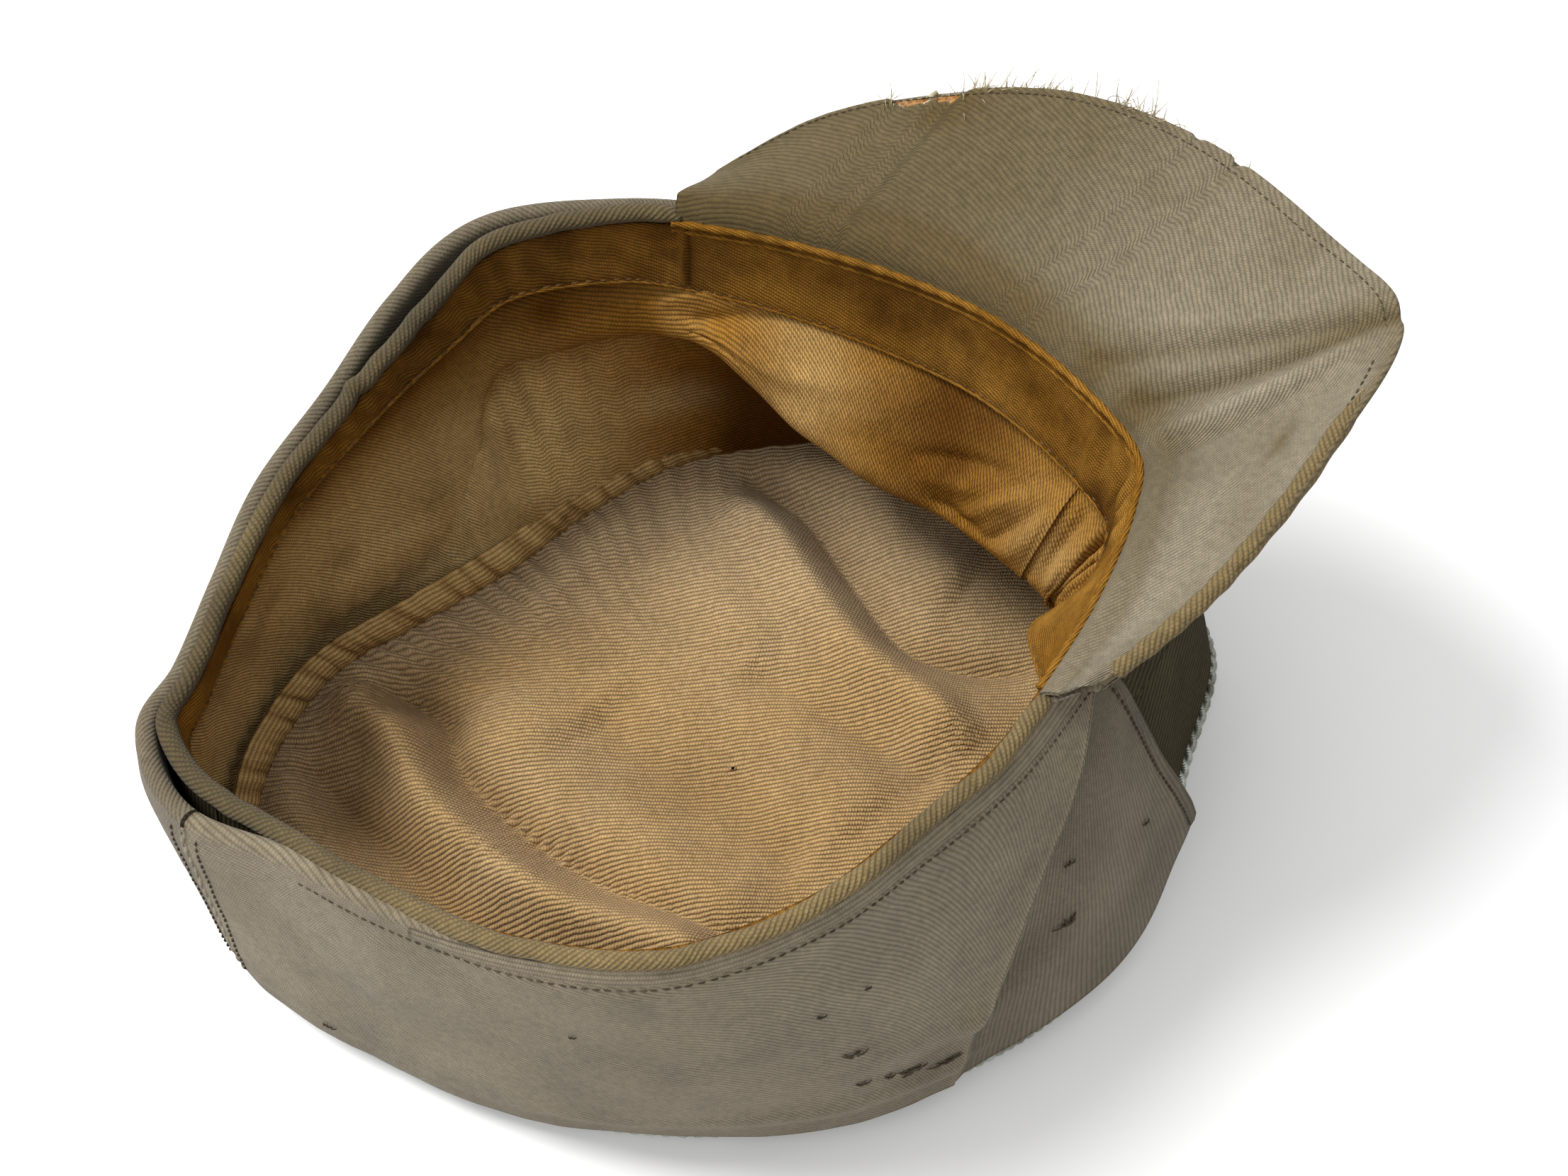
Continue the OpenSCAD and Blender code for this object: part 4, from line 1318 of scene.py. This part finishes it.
def peak_marks(u, v):
    """Dirt by the seam and along the edge, a spot, blots, painted shade along the creases' valleys, and
    a worn line along a crease.
    """
    seam_dirt = 0.75 * bump(v, 0, 0.15) * bump(u, 0.45, 0.45) + 0.8 * ease((u - 0.45) / 0.3)
    edge_dirt = 0.8 * bump(v, 1, 0.05) * ease((0.42 - u) / 0.1)
    spot = 0.7 * bump(u, 0.33, 0.018) * bump(v, 0.62, 0.05)
    blots = 0.7 * bump(u, 0.2, 0.02) * bump(v, 0.96, 0.03)
    blots = blots + 0.7 * bump(u, 0.12, 0.02) * bump(v, 0.97, 0.03)
    # Painted shade along the two crease valleys; the third term darkens a patch by the tear.
    valley = 0.5 * bump(u, crease_place(0.035, v), 0.014)
    valley = valley + 0.35 * bump(u, crease_place(0.09, v), 0.014)
    valley = valley + 0.35 * bump(u, 0.78, 0.02) * bump(v, 0.85, 0.12)
    pale = 0.6 * bump(u, crease_place(-0.005, v), 0.01) + 0.45 * bump(u, 0.15, 0.18) * bump(v, 0.3, 0.3)
    return {"stain_and_shade": seam_dirt + edge_dirt + spot + blots + valley, "fade": pale}


def peak_cover(side):
    """One cover of the peak and its marks; side is 1 for the inner face, -1 for the outer."""
    u, k = grid(0.02, 0.98, 360, 0, 1, 74)
    end = peak_end(u) if side > 0 else 0.98
    v = mix(0.012, end, np.minimum(k / 0.93, 1))
    p = peak_point(u, v, side * (BOARD / 2 + 0.1 + COVER / 2))
    turn = ease((k - 0.93) / 0.07) * np.pi / 2
    away = unit(peak_point(u, v, 0) - peak_point(u, v - 0.02, 0))
    p = p + away * (0.8 * np.sin(turn))[..., None]
    p[..., 2] -= side * 1.0 * (1 - np.cos(turn))
    hem = ease((0.34 - u) / 0.1) * bump(v, 0.955, 0.028)
    p[..., 2] += side * (0.55 * hem + 0.1 * noise(p, 3, 83))
    return with_seam_turn(p, u[:, 0], side), peak_marks(u, v)


def build_peak_covers():
    p, marks = peak_cover(1)
    marks = {key: pad_marks(value, p)[:, ::-1] for key, value in marks.items()}
    under = cloth("peak_under_cloth", p[:, ::-1], COVER, WOOL_PEAK, marks=marks)
    fit(under, "twill", "cap", "peak_under_cover")
    p, _ = peak_cover(-1)
    fit(cloth("peak_top_cloth", p, COVER, WOOL_PEAK), "twill", "cap", "peak_top_cover")


# The crack in the board by the tear: place across the peak and towards its edge, and radius
CRACK = np.array([[0.806, 0.86, 0.12], [0.809, 0.9, 0.35], [0.803, 0.94, 0.5],
                  [0.807, 0.97, 0.6], [0.804, 1.0, 0.6]])


def build_peak_board():
    u, k = grid(0.05, 0.95, 300, 0, 1, 30)
    v = mix(0.06, 0.972 + 0.006 * edge_noise(u, 2.5, 84), k)
    board = cloth("peak_board_sheet", peak_point(u, v, 0.0)[:, ::-1], BOARD, FIBRE)
    fit(board, "fibreboard", "cap", "peak_board")
    path = peak_point(CRACK[:, 0], CRACK[:, 1], BOARD / 2)
    crack = tubes("peak_board_crack", path[None], CRACK[None, :, 2], PALE_THREAD, 6)
    fit(crack, "fibreboard", "cap")


def build_peak_edge_roll():
    """The rolled, ribbed hem of the under cover along the near part of the peak's edge."""
    k = np.linspace(0, 1, 150)
    u = mix(0.035, 0.36, k)
    centre = peak_point(u, 0.955 + 0 * u, BOARD / 2 + 0.4)
    size = 1.75 * ease(k / 0.03) * ease((1 - k) / 0.12) + 0.1
    roll = tubes("peak_edge_roll", centre[None], size[None] * (1 + 0.06 * np.sin(k * 60)), WOOL_EDGE, 10,
                 flat=0.75)
    fit(roll, "twill", "cap")


def build_peak_stitches():
    def near_half(k):
        u = mix(0.045, 0.375, k)
        v = 0.895 + 0.02 * u
        lift = BOARD / 2 + COVER + 0.1
        return peak_point(u, v, lift), np.broadcast_to([0, 0, 1.0], u.shape + (3,))
    row = stitch_row("peak_topstitch_near", near_half, 62, DARK_THREAD, 0.22, 0.24)
    fit(row, "thread", "cap", "peak_stitching")

    def far_half(k):
        u = mix(0.4, 0.96, k)
        v = 0.94 + 0 * u
        return peak_point(u, v, BOARD / 2 + COVER + 0.1), np.broadcast_to([0, 0, 1.0], u.shape + (3,))
    row = stitch_row("peak_topstitch_far", far_half, 96, DARK_THREAD, 0.12, 0.16)
    fit(row, "thread", "cap")


# Frayed tufts at the worn edge: place across the peak, spread, how many hairs, length
TUFTS = [(0.842, 0.006, 26, 4.0), (0.775, 0.008, 40, 4.0), (0.755, 0.02, 60, 3.6),
         (0.72, 0.015, 30, 2.8), (0.66, 0.012, 46, 4.2), (0.635, 0.01, 30, 3.4),
         (0.59, 0.03, 26, 2.0), (0.806, 0.03, 40, 2.2)]


def hairs(roots, ways, sizes):
    """Curved hair paths from roots in given directions."""
    k = np.linspace(0, 1, 6)[None, :, None]
    bend = RNG.normal(0, 0.55, roots.shape)[:, None]
    sizes = sizes[:, None, None]
    p = roots[:, None] + ways[:, None] * k * sizes + bend * k ** 2 * sizes
    p[..., 2] -= 0.2 * k[..., 0] ** 2 * sizes[..., 0]
    return p


def build_peak_fray():
    paths = []
    for place, spread, count, size in TUFTS:
        u = place + RNG.normal(0, spread, count)
        v = peak_end(u) + RNG.uniform(-0.01, 0.012, count)
        root = peak_point(u, v, RNG.uniform(-0.6, 1.5, count))
        away = unit(peak_point(u, v, 0) - peak_point(u, v - 0.05, 0))
        way = unit(away + RNG.normal(0, 0.5, (count, 3)))
        paths.append(hairs(root, way, size * RNG.uniform(0.4, 1.2, count)))
    shape = np.array([1, 1, 0.9, 0.8, 0.6, 0.3])[None] * 0.13
    fray = tubes("peak_edge_fray", np.concatenate(paths), shape, PALE_THREAD, 4)
    fit(fray, "thread", "cap")


# ---------------------------------------------------------------- buttons
# Side view of a button: distance from its axis and height above its seat
BUTTON_SIDE = np.array([[0.02, 0.25], [2.2, 0.1], [4.6, 0.0], [5.6, 0.05], [5.95, 0.35], [5.95, 0.75],
                        [5.6, 1.0], [5.2, 0.95], [4.9, 1.15], [4.0, 1.95], [2.6, 2.65], [1.2, 2.95],
                        [0.02, 3.0]], float)


def button_frame(level):
    p = wall(np.array(BUTTON_STATION), np.array(level))
    n = outward(np.array(BUTTON_STATION), np.array(level))
    side = unit(np.cross(n, [0, 0, 1.0]))
    return p, n, side, np.cross(side, n)


def button_shank(origin, n, side, up):
    """Six threads that lean round each other from the tab to the button."""
    k = np.linspace(0, 1, 8)[:, None]
    threads = []
    for a in np.arange(6) * np.pi / 3:
        spin = side * math.cos(a) * 0.75 + up * math.sin(a) * 0.75
        lean = side * math.cos(a + 1.2) * 0.4 + up * math.sin(a + 1.2) * 0.4
        threads.append(origin + n * mix(3.3, BUTTON_SEAT + 0.1, k) + spin + lean * k)
    return threads


def build_buttons():
    angle = np.linspace(0, 2 * np.pi, 49)[:-1][:, None]
    r, h = np.moveaxis(along(BUTTON_SIDE, np.linspace(0, len(BUTTON_SIDE) - 1, 50))[None], -1, 0)
    uv = np.stack([angle * 6 + 0 * r, h + 0 * angle], axis=-1).reshape(-1, 2)
    faces = grid_quads(len(angle), r.shape[1], True)
    shanks = []
    for name, body, level in zip(("upper_button", "lower_button"), ("button_high", "button_low"),
                                 BUTTON_LEVELS):
        origin, n, side, up = button_frame(level)
        ring = side * (r * np.cos(angle))[..., None] + up * (r * np.sin(angle))[..., None]
        p = origin + n * (BUTTON_SEAT + h)[..., None] + ring
        dome = add_mesh(name + "_dome", p.reshape(-1, 3), faces, uv, BUTTON_METAL)
        fit(dome, "button_metal", body, name)
        shanks += button_shank(origin, n, side, up)
    posts = tubes("button_thread_shanks", np.stack(shanks), 0.42, DARK_THREAD, 6, up=(1, 0, 0))
    fit(posts, "thread", "right_tab", "button_shanks")


def build_buttonholes():
    """Close stitches round the slit that each button comes through."""
    for index, level in enumerate(BUTTON_LEVELS):
        origin, n, side, up = button_frame(level)
        angle = np.linspace(0, 2 * np.pi, 37)[:-1]
        reach = np.stack([np.cos(angle) * 7.2, np.sin(angle) * 1.5], axis=-1)
        inner = reach * np.array([0.86, 0.3])
        outer = reach * np.array([1.0, 1.15])
        seat = origin + n * (FLAP_MID + OVERLAP + 0.75)
        a = seat + side * inner[:, :1] + up * inner[:, 1:]
        b = seat + side * outer[:, :1] + up * outer[:, 1:]
        paths = stitch_paths(a, b, 0.3, np.broadcast_to(n, a.shape))
        ring = tubes("buttonhole_stitch_" + str(index + 1), paths, STITCH_SHAPE[None] * 0.34,
                     DARK_THREAD, 5, up=(1, 0.3, 0))
        fit(ring, "thread", LEFT_TAB)


# ---------------------------------------------------------------- wear
# Moth holes darned with dark thread on the near flap: station, level, length, turn, threads
DARNS = [(5.9, 0.33, 3.5, 10, 3), (6.25, 0.29, 2.5, 10, 2), (6.08, 0.55, 5, 70, 6),
         (6.2, 0.72, 4, 10, 4), (6.4, 0.74, 4, 10, 5), (6.6, 0.77, 6, 5, 9),
         (6.85, 0.8, 6, 5, 8), (4.3, 0.3, 2.2, 20, 2), (2.3, 0.86, 3, 20, 4)]
TAB_DARNS = [(8.4, 0.43, 3, 10, 4), (8.28, 0.6, 6, 10, 9), (9.5, 0.58, 3, 20, 3)]


# Rough size in mm of one station and of the wall, to turn a darn's length into both
STATION_SIZE = 21
WALL_SIZE = 105


def darn_paths(shape, darns):
    paths = []
    for t0, s0, size, turn, count in darns:
        k = np.linspace(-0.5, 0.5, 5)
        for _ in range(count):
            a = math.radians(turn + RNG.normal(0, 35))
            length = size * RNG.uniform(0.25, 0.6)
            shift = RNG.normal(0, size * 0.22, 2) * np.array([1, 0.35])
            t = t0 + (k * length * math.cos(a) + shift[0]) / STATION_SIZE
            s = s0 + (k * length * math.sin(a) + shift[1]) / WALL_SIZE
            lift = 0.25 + 0.35 * np.cos(np.pi * k)
            paths.append(shape(t, s, TWILL / 2) + outward(t, s) * lift[:, None])
    return np.stack(paths)


def build_darns():
    radius = np.array([0.1, 0.18, 0.22, 0.18, 0.1])[None]
    for name, shape, darns, motion in (("flap_darns", flap_shape, DARNS, LEFT_FLAP),
                                       ("tab_darns", tab_shape, TAB_DARNS, LEFT_TAB)):
        paths = darn_paths(shape, darns)
        fit(tubes(name, paths, radius, DARK_THREAD, 5, up=(0, 1, 0.2)), "thread", motion)


# ---------------------------------------------------------------- build everything
build_flap_left()
build_flap_right()
build_flap_facings()
build_tab_left()
build_tab_right()
build_flap_stitches()
build_back_seam()
build_rim_hem()
build_hinge_band()
build_body()
build_side_linings()
build_sweatband()
build_band_details()
build_crown_lining()
build_crown_seam_gather()
build_crown_top()
build_piping()
build_peak_covers()
build_peak_board()
build_peak_edge_roll()
build_peak_stitches()
build_peak_fray()
build_buttons()
build_buttonholes()
build_darns()


# ---------------------------------------------------------------- stage, light and camera
def build_stage():
    size, z = 3000.0, -0.3
    points = np.array([[-size, -size, z], [size, -size, z], [size, size, z], [-size, size, z]])
    floor = add_mesh("studio_floor", points, [[0, 1, 2, 3]], points[:, :2],
                     floor_material("pale_floor"))


def aim(obj, place, target):
    obj.location = Vector(place)
    obj.rotation_mode = "QUATERNION"
    obj.rotation_quaternion = (Vector(target) - Vector(place)).to_track_quat("-Z", "Y")


def add_light(name, place, size, power):
    lamp = bpy.data.lights.new(name, "AREA")
    lamp.shape = "DISK"
    lamp.size = size
    lamp.energy = power
    obj = bpy.data.objects.new(name, lamp)
    bpy.context.scene.collection.objects.link(obj)
    aim(obj, place, (0, 0, 0.05))


def build_lights():
    """A soft sky that is brighter towards the window side, and one big soft key light."""
    world = bpy.data.worlds.new("studio")
    world.use_nodes = True
    tree = world.node_tree
    place = tree.nodes.new("ShaderNodeNewGeometry")
    toward = tree.nodes.new("ShaderNodeVectorMath")
    toward.operation = "DOT_PRODUCT"
    toward.inputs[1].default_value = Vector((-0.38, -0.6, -0.7)).normalized()
    tree.links.new(place.outputs["Incoming"], toward.inputs[0])
    level = tree.nodes.new("ShaderNodeMapRange")
    level.inputs["From Min"].default_value = -0.7
    level.inputs["From Max"].default_value = 1.0
    level.inputs["To Min"].default_value = 0.3
    level.inputs["To Max"].default_value = 1.22
    tree.links.new(toward.outputs["Value"], level.inputs["Value"])
    tree.links.new(level.outputs[0], tree.nodes["Background"].inputs[1])
    tree.nodes["Background"].inputs[0].default_value = (1, 1, 1, 1)
    bpy.context.scene.world = world
    add_light("key_light", (0.55, 0.45, 1.2), 0.6, 20)


CAMERA_PLACE = Vector((-188.3, 82.2, 439.0)) * MM
CAMERA_TURN = math.radians(-121.1)
CAMERA_ELEVATION = math.radians(60)


def build_camera():
    data = bpy.data.cameras.new("camera")
    data.lens = 45.57
    data.sensor_width = 36
    data.clip_start = 0.01
    cam = bpy.data.objects.new("camera", data)
    bpy.context.scene.collection.objects.link(cam)
    a, e = CAMERA_TURN, CAMERA_ELEVATION
    back = Vector((math.sin(a) * math.cos(e), -math.cos(a) * math.cos(e), math.sin(e)))
    cam.location = CAMERA_PLACE
    cam.rotation_mode = "QUATERNION"
    cam.rotation_quaternion = (-back).to_track_quat("-Z", "Y")
    bpy.context.scene.camera = cam


build_stage()
build_lights()
build_camera()
bpy.context.scene.view_settings.view_transform = "Standard"
